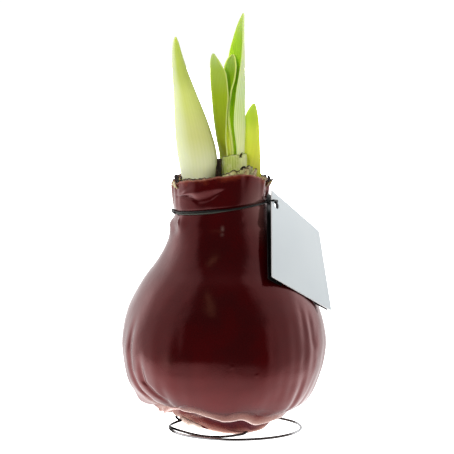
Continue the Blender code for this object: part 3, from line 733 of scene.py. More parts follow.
SECOND_FOLD = (
    (0.0120, 226),
    (0.0165, 228),
    (0.0189, 224.5),
    (0.0213, 221),
    (0.0234, 218.5),
    (0.0260, 215),
    (0.0320, 215.5),
    (0.0400, 217),
)
# Each fold: its path, depth, half width in degrees, and the heights where it comes and goes.
FOLDS = (
    (LEFT_FOLD, 0.0013, 3.0, (0.008, 0.013, 0.034, 0.058)),
    (SECOND_FOLD, 0.0012, 3.0, (0.008, 0.012, 0.025, 0.042)),
    (((0.012, 230.5), (0.028, 231)), 0.0005, 3.0, (0.009, 0.013, 0.017, 0.030)),
    (((0.012, 322), (0.020, 325), (0.034, 327)), 0.0006, 3.0, (0.008, 0.014, 0.020, 0.036)),
    (((0.012, 334), (0.020, 337), (0.034, 338)), 0.0004, 2.6, (0.008, 0.014, 0.020, 0.036)),
    (((0.036, 328), (0.050, 325), (0.062, 326)), 0.00016, 2.4, (0.038, 0.046, 0.054, 0.063)),
    (((0.036, 334), (0.045, 331), (0.058, 333)), 0.00018, 2.2, (0.036, 0.042, 0.050, 0.060)),
    (((0.030, 340), (0.042, 336), (0.055, 339)), 0.00020, 2.6, (0.032, 0.038, 0.046, 0.058)),
)
print(len(GROOVES), "grooves and", len(FOLDS), "folds")

# %% [markdown]
# A grown bulb is never quite round, so slow waves swell its body and its neck. The tie runs
# round the neck at a slant and pinches it.

# %% Swells and the tie's place
# Each swell: its size, how many waves go round, how it turns with height, and its start.
BODY_SWELLS = ((0.006, 3, 0, 0.8), (0.004, 5, 60, 0.0), (0.003, 8, -90, math.pi / 2))
BODY_SWELL_SPAN = (0.010, 0.020, 0.085, 0.095)
NECK_SWELL = (0.007, 4, 260, 0.0)
NECK_SWELL_FROM = (0.088, 0.098)
TIE_RADIUS = 0.00055
TIE_HEIGHT = 0.1000
TIE_SLOPE = (0.115, -0.030)
TIE_PINCH = 0.0007
TIE_PINCH_WIDTH = 0.0016
TIE_BAND = 0.0022
print("the tie pinches the neck by", 1000 * TIE_PINCH, "mm")

# %% [markdown]
# One function gives any point of the skin, from an angle and from a radius and a height of
# the plain turned shape. It adds the swells, takes off the grooves and the pinch, and lifts
# what lies near the foot. The inside of the wax and the bulb use it too, further in.

# %% A point of the skin
def groove_depth(angle, height):
    total = 0.0
    for centre, depth, width, low, high in GROOVES:
        span = (low - GROOVE_START, low + GROOVE_START, high - GROOVE_FADE, high)
        total = total + depth * within(height, span) * bell(angle_off(angle, centre), 0, width)
    for path, depth, width, span in FOLDS:
        off = angle_off(angle, table_at(path, height))
        total = total + depth * within(height, span) * bell(off, 0, width)
    return total


def wave(swell, a, height):
    share, waves, turn, start = swell
    return share * np.sin(waves * a + turn * height + start)


def lumps(angle, height):
    a = np.radians(angle)
    body = within(height, BODY_SWELL_SPAN) * sum(wave(swell, a, height) for swell in BODY_SWELLS)
    return body + smooth_step(*NECK_SWELL_FROM, height) * wave(NECK_SWELL, a, height)


def base_rise(angle, height):
    left = (1 - np.cos(np.radians(angle))) / 2
    foot = FOOT_LEFT_RISE * left * within(height, FOOT_SPAN)
    return foot + around(CREASE_RISE, angle) * within(height, CREASE_SPAN)


def tie_line(angle):
    a = np.radians(angle)
    return TIE_HEIGHT + NECK_RADIUS * (TIE_SLOPE[0] * np.cos(a) + TIE_SLOPE[1] * np.sin(a))


def skin_point(angle, radius, height, drift=0.0):
    """Points of the lobed skin, from radii and heights of the plain turned shape."""
    angle, radius, height = np.broadcast_arrays(angle, radius, height)
    a = np.radians(angle)
    pinch = TIE_PINCH * bell(height, tie_line(angle), TIE_PINCH_WIDTH)
    r = radius * (1 + lumps(angle, height)) - groove_depth(angle, height) - pinch
    x = r * np.cos(a) + table_at(NECK_SHIFT, height) + drift * FLAT_SPOT[0]
    y = r * np.sin(a) + drift * FLAT_SPOT[1]
    return np.stack([x, y, height + base_rise(angle, height)], axis=-1)


def body_stations(count):
    """Radius and height of the plain turned shape, at even steps along its outline."""
    z = np.linspace(BODY_OUTLINE[0][0], BODY_OUTLINE[-1][0], 400)
    r = table_at(BODY_OUTLINE, z)
    run = np.concatenate([[0], np.cumsum(np.hypot(np.diff(z), np.diff(r)))])
    at = np.linspace(0, run[-1], count)
    return np.stack([np.interp(at, run, r), np.interp(at, run, z)], axis=-1)


def inset(stations, depth):
    along = np.gradient(stations, axis=0)
    along /= np.linalg.norm(along, axis=1)[:, None]
    return stations + depth * np.stack([-along[:, 1], along[:, 0]], axis=-1)


def hollow_stations(count):
    walls = inset(body_stations(count), WAX_THICKNESS)
    return np.vstack([HOLLOW_BASE, walls[walls[:, 1] > HOLLOW_WALL_FROM]])


def skin_rows(angle, stations):
    return skin_point(angle[None, :], stations[:, :1], stations[:, 1:])


print("skin at the front of the belly:", skin_point(270.0, 0.045, 0.0385).round(4))

# %% [markdown]
# ## The neck
# Above the belly the rows follow the tie, which pulls the wax in, and then climb to the
# torn rim. The rim of the real wax isn't even: it is thin, chipped and crumpled at the
# sides, where the tie gathers it. Low waves give its run and quick ones its chips.

# %% Rows of the neck
CHIP = 0.00022
RIM_THICKNESS = 0.00045
CRUMPLE_ANGLES = ((196, 14), (338, 16), (40, 18), (120, 22))


def crumple(angle):
    """How crumpled the wax is at an angle: 1 where the tie gathers it, 0 between."""
    return np.clip(sum(bell(angle_off(angle, centre), 0, width) for centre, width in CRUMPLE_ANGLES), 0, 1)


def rim_height(angle):
    chips = ragged(angle, 3, 20, 60) * (0.6 + 2.2 * crumple(angle))
    return around(RIM_HEIGHT, angle) + CHIP * (chips + 0.7 * ragged(angle, 5, 5, 14))


def rim_depth(share):
    """How thick the wax is at a share of the way up to the rim, where it thins out."""
    return RIM_THICKNESS + (WAX_THICKNESS - RIM_THICKNESS) * smooth_step(0, 1, (1 - share) * 1.4)


def band_rows(angle, depth, count):
    """Rows across the band where the tie lies, at a depth inside the wax."""
    offsets = np.linspace(-TIE_BAND, TIE_BAND, count)[:, None]
    return skin_point(angle[None, :], NECK_RADIUS - depth, tie_line(angle)[None, :] + offsets)


def rim_rows(angle, shares, depths, top):
    """Rows from above the tie towards a top edge, each at its own depth inside the wax."""
    shares = np.asarray(shares, float)[:, None]
    radius = NECK_RADIUS + (RIM_RADIUS - NECK_RADIUS) * shares - np.asarray(depths, float)[:, None]
    start = tie_line(angle)[None, :] + TIE_BAND
    return skin_point(angle[None, :], radius, start + (top[None, :] - start) * shares)


print("crumpled share of the rim:", round(float(crumple(np.arange(360.0)).mean()), 2))

# %% [markdown]
# ## The wax
# Dipping leaves a smooth skin, but not a perfect one. It hangs in folds under the rim,
# ripples over the bulb's lobes, has a few pimples, and rolls into a lip where it was set
# down. All of these are pushed out of the plain skin along its normals, so they show in
# the outline and in the reflections, which a bump in the material can't do as well.

# %% Folds, ripples and pimples of the wax
WAX_COLUMNS = 360
FOOT_ROWS = 58
BODY_ROWS = 126
BAND_ROWS = 20
NECK_ROWS = 4
RIM_ROWS = 36
# The soft fold under the rim: its upper and lower edge by angle.
FOLD_TOP = (
    (205, 0.1062),
    (218, 0.1068),
    (230, 0.1080),
    (242, 0.1088),
    (253, 0.1101),
    (265, 0.1106),
    (279, 0.1108),
)
FOLD_FOOT = (
    (205, 0.1052),
    (218, 0.1056),
    (230, 0.1056),
    (242, 0.1045),
    (250, 0.1050),
    (258, 0.1060),
    (265, 0.1076),
    (279, 0.1104),
)
FOLD_SPAN = (200, 224, 262, 280)
FOLD_ROLL = 0.0005
FOLD_DEPTH = 0.0008
CRUMPLE_SIZE = 0.00055
CRUMPLE_REACH = 0.006
# Each dent or bulge: angle, height, how far out, half width in degrees and half height.
DENTS = (
    (181, 0.0925, 0.0009, 9, 0.0022),
    (200, 0.0905, -0.0009, 10, 0.0018),
    (216, 0.0945, 0.0005, 8, 0.0028),
    (271, 0.0929, 0.0003, 1.8, 0.0007),
    (270, 0.0904, 0.0002, 3, 0.0009),
    (230, 0.0370, 0.0009, 15, 0.0150),
    (258, 0.0948, -0.0003, 9, 0.0030),
    (320, 0.0915, 0.0003, 3, 0.0008),
    (5, 0.0935, 0.0006, 10, 0.0020),
    (48, 0.0930, -0.0006, 12, 0.0019),
    (88, 0.0940, 0.0007, 10, 0.0020),
    (140, 0.0930, 0.0006, 11, 0.0020),
    (275, 0.0354, 0.00022, 0.6, 0.0004),
    (289, 0.0313, 0.00022, 0.6, 0.0004),
    (184, 0.0225, 0.0010, 14, 0.0060),
    (190, 0.0146, 0.0018, 11, 0.0026),
    (180, 0.0400, 0.0006, 30, 0.0120),
    (0, 0.0420, 0.0006, 30, 0.0110),
    (195, 0.0112, 0.0018, 4, 0.0012),
    (204, 0.0106, 0.0023, 4, 0.0013),
    (213, 0.0100, 0.0020, 4, 0.0012),
    (222, 0.0092, 0.0012, 4, 0.0011),
    (227, 0.0062, 0.0007, 4, 0.0009),
)
# Thin raised lines: angle and height of each end, how far out and half width in metres.
RIDGES = (
    (278, 0.0926, 301, 0.0988, 0.00030, 0.0005),
    (251, 0.0928, 268, 0.0985, 0.00016, 0.0012),
    (212, 0.0925, 209, 0.0965, 0.00050, 0.0008),
)
RIPPLE_SPAN = (0.012, 0.022, 0.042, 0.062)
RIPPLE_SIZE = 0.00007
# Where the wax rolled up against the table: the crease above the roll, and its lower lip.
CREASE_LINE = (
    (20, 0.0100),
    (60, 0.0112),
    (100, 0.0118),
    (140, 0.0112),
    (180, 0.0122),
    (210, 0.0128),
    (229, 0.0135),
    (240, 0.0152),
    (247, 0.0160),
    (252, 0.0151),
    (261, 0.0132),
    (267, 0.0124),
    (272, 0.0118),
    (278, 0.0134),
    (284, 0.0131),
    (293, 0.0117),
    (303, 0.0097),
    (308, 0.0104),
    (316, 0.0109),
    (345, 0.0091),
)
LIP_LINE = (
    (20, 0.0066),
    (60, 0.0078),
    (100, 0.0084),
    (140, 0.0080),
    (180, 0.0092),
    (205, 0.0108),
    (225, 0.0124),
    (231, 0.0122),
    (243, 0.0122),
    (254, 0.0104),
    (264, 0.0090),
    (270, 0.0082),
    (278, 0.0082),
    (287, 0.0085),
    (296, 0.0073),
    (303, 0.0059),
    (308, 0.0054),
    (318, 0.0061),
    (331, 0.0066),
    (350, 0.0061),
)
CREASE_DEPTH = 0.0009
CREASE_WIDTH = 0.00028
LIP_SIZE = 0.0005
UNDERCUT = 0.0010
CREASE_UP = 0.0007
CREASE_MARK_WIDTH = 0.00032
LIP_UP = 0.0002
LIP_WIDTH = 0.00042
OVERHANG = 0.0009
OVERHANG_REACH = 0.0024
# How strong the painted reflection on the lower half of the roll is, by angle.
PAINTED_REFLECTION_BY_ANGLE = ((190, 0.9), (255, 0.9), (266, 0.45), (284, 0.45), (298, 0.9), (350, 0.6))
# The foot's lower edge in front, from left to right: each place, and its height on a plane
# that leans back by FOOT_LEAN.
FOOT_LEAN = 0.14
FOOT_EDGE = (
    (-0.0208, 0.0065),
    (-0.0190, 0.0057),
    (-0.0154, 0.0038),
    (-0.0119, 0.0018),
    (-0.0083, 0.0003),
    (-0.0039, -0.0009),
    (0.0030, -0.0018),
    (0.0070, -0.0018),
    (0.0115, -0.0014),
    (0.0159, -0.0003),
    (0.0181, 0.0006),
)
# Above that edge the foot is painted lighter, and right at it pale, on its front only: painted light.
FOOT_PAINTED_LIGHT_REACH = (0.0006, 0.0034)
FOOT_PALE = (0.0002, 0.0010)
FOOT_PALE_FADE = (-0.002, 0.008)
FOOT_FRONT = (0.002, -0.004)
FOOT_TOP = (0.008, 0.011)
# A dark line painted above the edge, on the same plane: painted shade for a small fold.
FOOT_FOLD = ((0.0000, 0.0023), (0.0023, 0.0004), (0.0058, -0.0005), (0.0099, -0.0010))
FOOT_FOLD_WIDTH = 0.0003
FOOT_FOLD_SPAN = (-0.0008, 0.0006, 0.0092, 0.0104)
# Painted highlights: a pale glint on the roll's left end, and softer spots: two pimples on
# the neck, the neck's two sides and two places at the left. Each spot: angle, height, half
# width in degrees, half height and how much.
GLINT_ANGLES = (186, 192, 214, 223)
GLINT_HEIGHTS = (0.0060, 0.0080, 0.0122, 0.0132)
GLINT_SPOTS = (
    (271, 0.0929, 1.7, 0.0006, 0.7),
    (270, 0.0904, 1.7, 0.0006, 0.25),
    (322, 0.1040, 16, 0.0070, 0.35),
    (318, 0.0930, 14, 0.0060, 0.12),
    (237, 0.0365, 4, 0.0040, 0.08),
    (208, 0.0142, 9, 0.0030, 0.6),
    (186, 0.1035, 13, 0.0060, 0.5),
)


def soft_spot(angle, height, centre, level, half_width, half_height):
    """1 in the middle of a round spot on the wax, and less away from it."""
    return bell(angle_off(angle, centre), 0, half_width) * bell(height, level, half_height)


def fold_height(angle, height):
    """The gathered fold: a roll under the rim whose lower side sinks in to a crease."""
    top = table_at(FOLD_TOP, angle)
    foot = table_at(FOLD_FOOT, angle)
    down = (top - height) / np.maximum(top - foot, 1e-4)
    profile = np.where(down < 1, smooth_step(-0.1, 1.1, down), np.exp(-(((down - 1) / 0.2) ** 2)))
    roll = smooth_step(-1.2, -0.1, down) * (1 - smooth_step(-0.1, 0.9, down))
    return (FOLD_ROLL * roll - FOLD_DEPTH * profile) * within(angle, FOLD_SPAN)


def crumple_height(angle, height, rim):
    """Upright wrinkles under the rim, deepest where the tie gathers the wax."""
    below = (rim - height) / CRUMPLE_REACH
    wrinkles = ragged(angle, 11, 18, 34) * (0.25 + crumple(angle))
    above_tie = smooth_step(0.0, 0.001, height - tie_line(angle) - 0.001)
    return CRUMPLE_SIZE * wrinkles * np.exp(-np.clip(below, 0, None)) * above_tie


def ridge_height(angle, height):
    """Thin raised lines, each the distance in metres to a short path over the wax."""
    total = 0.0
    for angle_0, height_0, angle_1, height_1, size, width in RIDGES:
        to_metres = math.radians(1) * NECK_RADIUS
        dx, dy = (angle_1 - angle_0) * to_metres, height_1 - height_0
        px, py = angle_off(angle, angle_0) * to_metres, height - height_0
        along = np.clip((px * dx + py * dy) / (dx * dx + dy * dy), 0, 1)
        away = np.hypot(px - along * dx, py - along * dy)
        total = total + size * bell(away, 0, width) * np.sin(math.pi * np.clip(along, 0.06, 0.94))
    return total


def roll_relief(angle, height):
    """The belly's edge over the crease, the rolled lip below it and the hollow under that."""
    crease = around(CREASE_LINE, angle) + CREASE_UP
    lip = around(LIP_LINE, angle)
    down = (crease - height) / (crease - lip)
    unevenness = 1 + 0.3 * ragged(angle, 31, 5, 17)
    roll = smooth_step(0.0, 0.85, down) * (1 - smooth_step(0.95, 1.2, down))
    under = smooth_step(0.95, 1.25, down) * (1 - smooth_step(1.5, 2.3, down))
    above = np.clip(height - crease, 0, None)
    overhang = smooth_step(0.0, 0.0005, above) * np.exp(-above / OVERHANG_REACH)
    overhang = overhang * np.abs(np.sin(np.radians(angle)))
    groove = CREASE_DEPTH * bell(height, crease, CREASE_WIDTH)
    return LIP_SIZE * unevenness * roll - UNDERCUT * under - groove + OVERHANG * overhang


def roll_marks(angle, height):
    """Where the roll, its lower lip, the crease above it, the hollow below it and the glints are, 0 to 1:
    masks for painted light and shade.
    """
    crease = around(CREASE_LINE, angle) + CREASE_UP
    lip = around(LIP_LINE, angle)
    down = (crease - height) / (crease - lip)
    band = smooth_step(0.02, 0.45, down) * (1 - smooth_step(0.98, 1.1, down))
    under = smooth_step(1.0, 1.3, down) * (1 - smooth_step(1.5, 2.2, down))
    painted_glint = within(angle, GLINT_ANGLES) * within(height, GLINT_HEIGHTS)
    for centre, level, half_width, half_height, paleness in GLINT_SPOTS:
        spot = soft_spot(angle, height, centre, level, half_width, half_height)
        painted_glint = painted_glint + paleness * spot
    return {
        "roll": band,
        "painted_reflection": smooth_step(0.3, 1.0, down) * (1 - smooth_step(1.0, 1.12, down)) * around(PAINTED_REFLECTION_BY_ANGLE, angle),
        "lip": np.clip(bell(height, lip + LIP_UP, LIP_WIDTH), 0, 1),
        "foot": smooth_step(1.5, 2.4, down),
        # Painted shade: a dark line along the crease, and darker in the hollow under the lip.
        "crease": bell(height, crease, CREASE_MARK_WIDTH),
        "under": under,
        "painted_glint": painted_glint,
    }


def foot_marks(points):
    """Painted light on the foot's front, paler towards its lower edge, and a painted shade line for a small
    fold above it.
    """
    x, y, z = (points[..., k] for k in range(3))
    level = z + FOOT_LEAN * y
    above = level - table_at(FOOT_EDGE, x)
    front = smooth_step(*FOOT_FRONT, y) * (1 - smooth_step(*FOOT_TOP, z))
    painted_foot_light = 1 - smooth_step(*FOOT_PAINTED_LIGHT_REACH, above)
    edge = (1 - smooth_step(*FOOT_PALE, above)) * (1 - 0.7 * smooth_step(*FOOT_PALE_FADE, x))
    fold = bell(level, table_at(FOOT_FOLD, x), FOOT_FOLD_WIDTH) * within(x, FOOT_FOLD_SPAN)
    return {"painted_foot_light": painted_foot_light * front, "edge": edge * front, "fold": fold * front}


def wax_relief(points, angle, height):
    """How far each point of the wax stands out of the plain skin, along its normal."""
    relief = fold_height(angle, height) + crumple_height(angle, height, rim_height(angle))
    for centre, level, size, half_width, half_height in DENTS:
        relief = relief + size * soft_spot(angle, height, centre, level, half_width, half_height)
    ripples = ragged(angle, 21, 24, 52) * within(height, RIPPLE_SPAN)
    relief = relief + RIPPLE_SIZE * ripples * (0.4 + np.abs(np.cos(np.radians(angle))))
    relief = relief + ridge_height(angle, height) + roll_relief(angle, height)
    soft = rolling(points, 41, 0.019) * 0.00010 + rolling(points, 43, 0.0075) * 0.00003
    foot = rolling(points, 47, 0.0110) * 0.00008 * within(height, (0.0006, 0.003, 0.008, 0.013))
    return relief + soft * smooth_step(0.008, 0.016, height) + foot


def push_out(points, relief):
    """Move the points of a grid along its normals."""
    down = np.gradient(points, axis=0)
    along = (np.roll(points, -1, axis=1) - np.roll(points, 1, axis=1)) / 2
    normal = np.cross(along, down)
    normal /= np.maximum(np.linalg.norm(normal, axis=2), 1e-12)[..., None]
    return points + normal * relief[..., None]


print(len(DENTS), "dents and bulges and", len(RIDGES), "thin ridges")

# %% [markdown]
# The wax is one closed grid. Its rows start at the flat spot under the foot, go up the
# outside to the rim and come down again inside. They are closest at the foot, where the
# detail is finest. Where the warm wax was pulled off the sheet it tore and left two curls,
# which are short tapering tubes.

# %% Build the wax
def foot_rows(angle):
    steps = np.array(FOOT_STEPS)
    run = np.concatenate([[0], np.cumsum(np.hypot(*np.diff(steps[:, :2], axis=0).T))])
    at = run[-1] * np.linspace(0, 1, FOOT_ROWS) ** 0.6
    radius, height, drift = (flow(run, steps[:, k], at)[:, None] for k in range(3))
    return skin_point(angle[None, :], radius, height, drift)


def close_foot_stations(count):
    """Stations of the body that start at the foot's last ring and are closer near it."""
    stations = np.vstack([[FOOT_STEPS[-1][:2]], body_stations(400)])
    run = np.concatenate([[0], np.cumsum(np.hypot(*np.diff(stations, axis=0).T))])
    even = np.linspace(0, 1, count + 1)[1:]
    at = run[-1] * (0.3 * even + 0.7 * even**1.7)
    return np.stack([np.interp(at, run, stations[:, 0]), np.interp(at, run, stations[:, 1])], axis=-1)


def wax_grid():
    angle = np.arange(WAX_COLUMNS) * 360 / WAX_COLUMNS
    top = rim_height(angle)
    shares = np.linspace(0, 1, RIM_ROWS + 1)[1:]
    foot = foot_rows(angle)
    body = skin_rows(angle, close_foot_stations(BODY_ROWS))
    band = band_rows(angle, 0, BAND_ROWS)
    neck = body[-1] + np.linspace(0, 1, NECK_ROWS + 2)[1:-1, None, None] * (band[0] - body[-1])
    outside = np.concatenate([foot, body, neck, band, rim_rows(angle, shares, 0 * shares, top)])
    spread = np.broadcast_to(angle, outside.shape[:2])
    relief = wax_relief(outside, spread, outside[..., 2])
    relief *= smooth_step(0.0, 0.0008, outside[..., 2])
    marks = roll_marks(spread, outside[..., 2])
    outside = push_out(outside, relief)
    marks.update(foot_marks(outside))
    inner_shares = np.array([0.98, 0.8, 0.55, 0.25])
    depths = rim_depth(inner_shares)
    inner_rim = rim_rows(angle, inner_shares, depths, top)
    inner_band = band_rows(angle, WAX_THICKNESS, 5)[::-1]
    inner_body = skin_rows(angle, hollow_stations(16))[::-1]
    grid = np.concatenate([outside, inner_rim, inner_band, inner_body])
    values = {"below_rim": (top[None, :] - grid[..., 2]) * 1000, "cream": np.zeros(grid.shape[:2])}
    for name, mark in marks.items():
        values[name] = np.concatenate([mark, np.zeros((len(grid) - len(mark), WAX_COLUMNS))])
    return grid, values


# A pale curl of torn wax under the foot's left edge, and the dark end of another beside it.
# Each: its route, its radius at every point, and its marks.
CURLS = (
    (
        (
            (-0.0193, -0.0072, 0.0069),
            (-0.0183, -0.0085, 0.0060),
            (-0.0170, -0.0095, 0.0052),
            (-0.0157, -0.0105, 0.0047),
            (-0.0139, -0.0113, 0.0044),
            (-0.0122, -0.0118, 0.0039),
            (-0.0104, -0.0122, 0.0034),
            (-0.0086, -0.0124, 0.0028),
            (-0.0068, -0.0122, 0.0026),
        ),
        (0.0006, 0.0010, 0.0011, 0.0011, 0.0010, 0.0008, 0.0009, 0.0007, 0.0003),
        {"cream": 1.0},
    ),
    (
        (
            (-0.0099, -0.0128, 0.0037),
            (-0.0088, -0.0131, 0.0032),
            (-0.0077, -0.0132, 0.0029),
            (-0.0051, -0.0131, 0.0021),
        ),
        (0.0003, 0.0006, 0.0005, 0.0002),
        {"under": 1.0},
    ),
)
CURL_STEPS = 40


def curl_parts(mark_names):
    """Round, tapering strands of wax, which a little noise keeps from looking turned."""
    parts = []
    for route, radii, marks in CURLS:
        spine = smooth_route(route, CURL_STEPS)
        at = np.linspace(0, len(radii) - 1, CURL_STEPS)
        grid, cap = tube_grid(spine, 1.0, 20, swell=flow(np.arange(len(radii)), radii, at))
        away = grid - spine[:, None, :]
        grid = grid + away * (0.22 * rolling(grid, 57, 0.0032))[..., None]
        values = {name: 0.0 for name in mark_names} | {"below_rim": 90.0} | marks
        parts.append((grid, cap, values))
    return parts


wax_points, wax_values = wax_grid()
print("wax grid:", wax_points.shape[:2], "top at", wax_points[..., 2].max().round(4))

# %% [markdown]
# ## Shared effects
# Three effects turn up in more than one finish, so each is a node group. One gives soft
# cloudy patches, one gives the fine lengthwise veins of leaves and scales, and one fades
# from a torn edge inwards. Each material sets its own values on the group's sockets.

# %% Node groups
def new_group(name, inputs, outputs):
    group = bpy.data.node_groups.new(name, "ShaderNodeTree")
    for socket, value in inputs:
        way_in = group.interface.new_socket(socket, in_out="INPUT", socket_type="NodeSocketFloat")
        way_in.default_value = value
    for socket in outputs:
        group.interface.new_socket(socket, in_out="OUTPUT", socket_type="NodeSocketFloat")
    return group, group.nodes.new("NodeGroupInput").outputs, group.nodes.new("NodeGroupOutput").inputs


def use_group(tree, group, **values):
    node = tree.nodes.new("ShaderNodeGroup")
    node.node_tree = group
    for socket, value in values.items():
        plug(tree, node.inputs[socket.replace("_", " ")], value)
    return node.outputs


patches, given, made = new_group(
    "Cloudy patches", (("Scale", 60.0), ("Detail", 3.0), ("Low", 0.4), ("High", 0.6)), ("Mask",)
)
cloud = noise(patches, given["Scale"], given["Detail"])
plug(patches, made["Mask"], remap(patches, cloud, given["Low"], given["High"]))

veins, given, made = new_group(
    "Lengthwise veins", (("Across", 0.0), ("Count", 20.0), ("Wander", 0.6)), ("Height", "Line")
)
place = veins.nodes.new("ShaderNodeTexCoord").outputs["Object"]
stretch = veins.nodes.new("ShaderNodeMapping")
stretch.inputs["Scale"].default_value = (260.0, 260.0, 26.0)
plug(veins, stretch.inputs["Vector"], place)
drift_noise = noise(veins, 1.0, 3.0, stretch.outputs[0])
turns = calculate(veins, "MULTIPLY", given["Across"], given["Count"])
turns = calculate(veins, "ADD", turns, calculate(veins, "MULTIPLY", drift_noise, given["Wander"]))
line = calculate(veins, "SINE", calculate(veins, "MULTIPLY", turns, math.pi))
plug(veins, made["Height"], calculate(veins, "ADD", calculate(veins, "MULTIPLY", line, 0.5), drift_noise))
plug(veins, made["Line"], remap(veins, line, -0.4, 1.0))

torn_edge, given, made = new_group(
    "Torn edge", (("Distance", 1.0), ("Width", 0.5), ("Roughness", 0.5)), ("Mask",)
)
fray = calculate(torn_edge, "SUBTRACT", noise(torn_edge, 900.0, 3.0), 0.5)
fray = calculate(torn_edge, "MULTIPLY", fray, given["Roughness"])
frayed = calculate(torn_edge, "ADD", given["Distance"], fray)
plug(torn_edge, made["Mask"], remap(torn_edge, frayed, 0.0, given["Width"], 1.0, 0.0))
print("node groups:", [group.name for group in (patches, veins, torn_edge)])

# %% [markdown]
# ## The wax's finish
# The wax is dark wine red and nearly opaque. It is glossy with a slight haze, so what it
# reflects has soft edges. Near the rim it is thin and the light shows through, so there it
# turns brick red. A little colour change and a very fine unevenness keep it from looking
# like glass. The haze comes from roughness, set a little higher where it is cloudy.

# %% Wax finish
WAX_COLOUR = paint(67, 3, 5)
WAX_DEEP = paint(57, 2, 4)
WAX_SHEEN = (1.0, 0.35, 0.35, 1.0)
WAX_THIN = paint(112, 42, 24)
WAX_LIP = paint(150, 98, 80)
# Painted light and shade, mixed into the wax's colour, mostly on the foot. The foot under the
# hollow is lighter brown. The roll and the foot's front near its lower edge get painted light,
# the roll's lower half a painted reflection, and its lower lip and a few spots painted
# highlights. The crease, the hollow under the lip and a small fold get painted shade. The
# torn curl is cream.
WAX_MARKS = (
    ("foot", 0.8, paint(96, 42, 34)),
    ("painted_foot_light", 0.75, paint(140, 102, 90)),
    ("edge", 0.9, paint(236, 212, 198)),
    ("fold", 0.9, paint(62, 8, 12)),
    ("roll", 0.8, paint(116, 76, 68)),
    ("painted_reflection", 0.5, paint(196, 168, 154)),
    ("under", 0.8, paint(56, 10, 22)),
    ("crease", 1.0, paint(40, 4, 6)),
    ("painted_glint", 0.75, paint(156, 132, 122)),
    ("lip", 0.95, paint(236, 212, 206)),
    ("cream", 1.0, paint(238, 222, 208)),
)

wax_finish, tree, shader = new_finish("dark red wax", WAX_COLOUR, 0.16, IOR=1.9, Specular_Tint=WAX_SHEEN)
cloudy = use_group(tree, patches, Scale=70.0, Detail=4.0, Low=0.35, High=0.65)["Mask"]
below_rim = attribute(tree, "below_rim")
near_rim = use_group(tree, torn_edge, Distance=below_rim, Width=3.4, Roughness=2.0)["Mask"]
thin_spots = use_group(tree, patches, Scale=150.0, Detail=2.0, Low=0.42, High=0.62)["Mask"]
near_rim = calculate(tree, "MULTIPLY", near_rim, thin_spots)
at_edge = use_group(tree, torn_edge, Distance=below_rim, Width=1.0, Roughness=0.8)["Mask"]
body_colour = mix_colours(tree, cloudy, WAX_COLOUR, WAX_DEEP)
rim_colour = mix_colours(tree, near_rim, body_colour, WAX_THIN)
wax_colour = mix_colours(tree, at_edge, rim_colour, WAX_LIP)
for mark, strength, colour in WAX_MARKS:
    wax_colour = tint(tree, wax_colour, attribute(tree, mark), strength, colour)
plug(tree, shader.inputs["Base Color"], wax_colour)
plug(tree, shader.inputs["Roughness"], remap(tree, cloudy, 0.0, 1.0, 0.13, 0.19))
raise_surface(tree, shader, noise(tree, 320.0, 3.0), 0.25, 0.0002)

wax_parts = [(wax_points, "fan", wax_values), *curl_parts(wax_values)]
add_piece("wax_coat", wax_parts, "wax_coat", wax_finish)

# %% [markdown]
# ## The cut neck
# Under the wax is the bulb: fleshy scales, one inside the other, in a dry brown tunic. Its
# top was cut off, so the tunic stands up as a torn papery edge, with flakes that curl, and
# the scales inside are pale rings with brown, dried rims. Each is a thin ring that is
# closed on itself, and carries its distance from the torn edge for the finish to read.

# %% Rings of the tunic and the scales
NECK_FLOOR = 0.1080
NECK_COLUMNS = 264
# How far the tunic's torn edge stands above the wax rim, by angle. In front it is hidden.
TUNIC_RISE = (
    (0, 0.0006),
    (90, 0.0008),
    (180, 0.0013),
    (200, 0.0010),
    (235, 0.0008),
    (252, 0.0006),
    (264, 0.0001),
    (272, -0.0007),
    (322, -0.0007),
    (338, 0.0003),
)
TUNIC_WALL = 0.00045
TUNIC_DARK_EDGE_SPREAD = 3.4
INNER_SCALES = ((0.0174, 0.0009, 0.0042), (0.0150, 0.0009, 0.0036), (0.0126, 0.0008, 0.0030))
BUD_CLEARANCE = 0.0068
BUD_ANGLE = 180
SMALL_LEAF_GAP = (18, 17)
SCALE_RAMP = 25
SCALE_ROOT = 0.0006
# A cut scale's section: how far in through its wall and how far up each point is.
SCALE_SECTION = (
    (0.0, 0.0),
    (0.0, 0.5),
    (0.0, 0.92),
    (0.12, 1.0),
    (0.5, 1.03),
    (0.88, 1.0),
    (1.0, 0.92),
    (1.0, 0.5),
    (1.0, 0.0),
)
# Flakes that stand up from the tunic's torn edge: angle, height and half width in degrees.
TUNIC_FLAKES = (
    (176, 0.0016, 6),
    (350, 0.0014, 5),
    (2, 0.0016, 6),
    (60, 0.0014, 8),
    (118, 0.0018, 7),
)
ring_angles = np.arange(NECK_COLUMNS) * 360 / NECK_COLUMNS


def tunic_top(angle):
    flakes = sum(tall * bell(angle_off(angle, at), 0, width) for at, tall, width in TUNIC_FLAKES)
    tear = 0.00020 * ragged(angle, 61, 30, 90) + 0.00022 * ragged(angle, 63, 6, 20)
    return around(RIM_HEIGHT, angle) + around(TUNIC_RISE, angle) + tear + flakes


def tunic_ring():
    """The tunic, from inside the neck up behind the wax rim to its torn edge."""
    top = tunic_top(ring_angles)
    up = np.linspace(0, 1, 18)
    wax_depth = rim_depth(up)
    outer = rim_rows(ring_angles, up, wax_depth + 0.00015, top)
    thin = TUNIC_WALL * (1 - 0.6 * up)
    inner = rim_rows(ring_angles, up, wax_depth + 0.00015 + thin, top - 0.00004)
    grid = np.concatenate([outer, inner[::-1]])
    distance = (top[None, :] - grid[..., 2]) * 1000 / TUNIC_DARK_EDGE_SPREAD
    across = np.radians(ring_angles)[None, :] * 3
    return grid, "round", {"from_edge": distance, "across": across, "dry": 1.0}


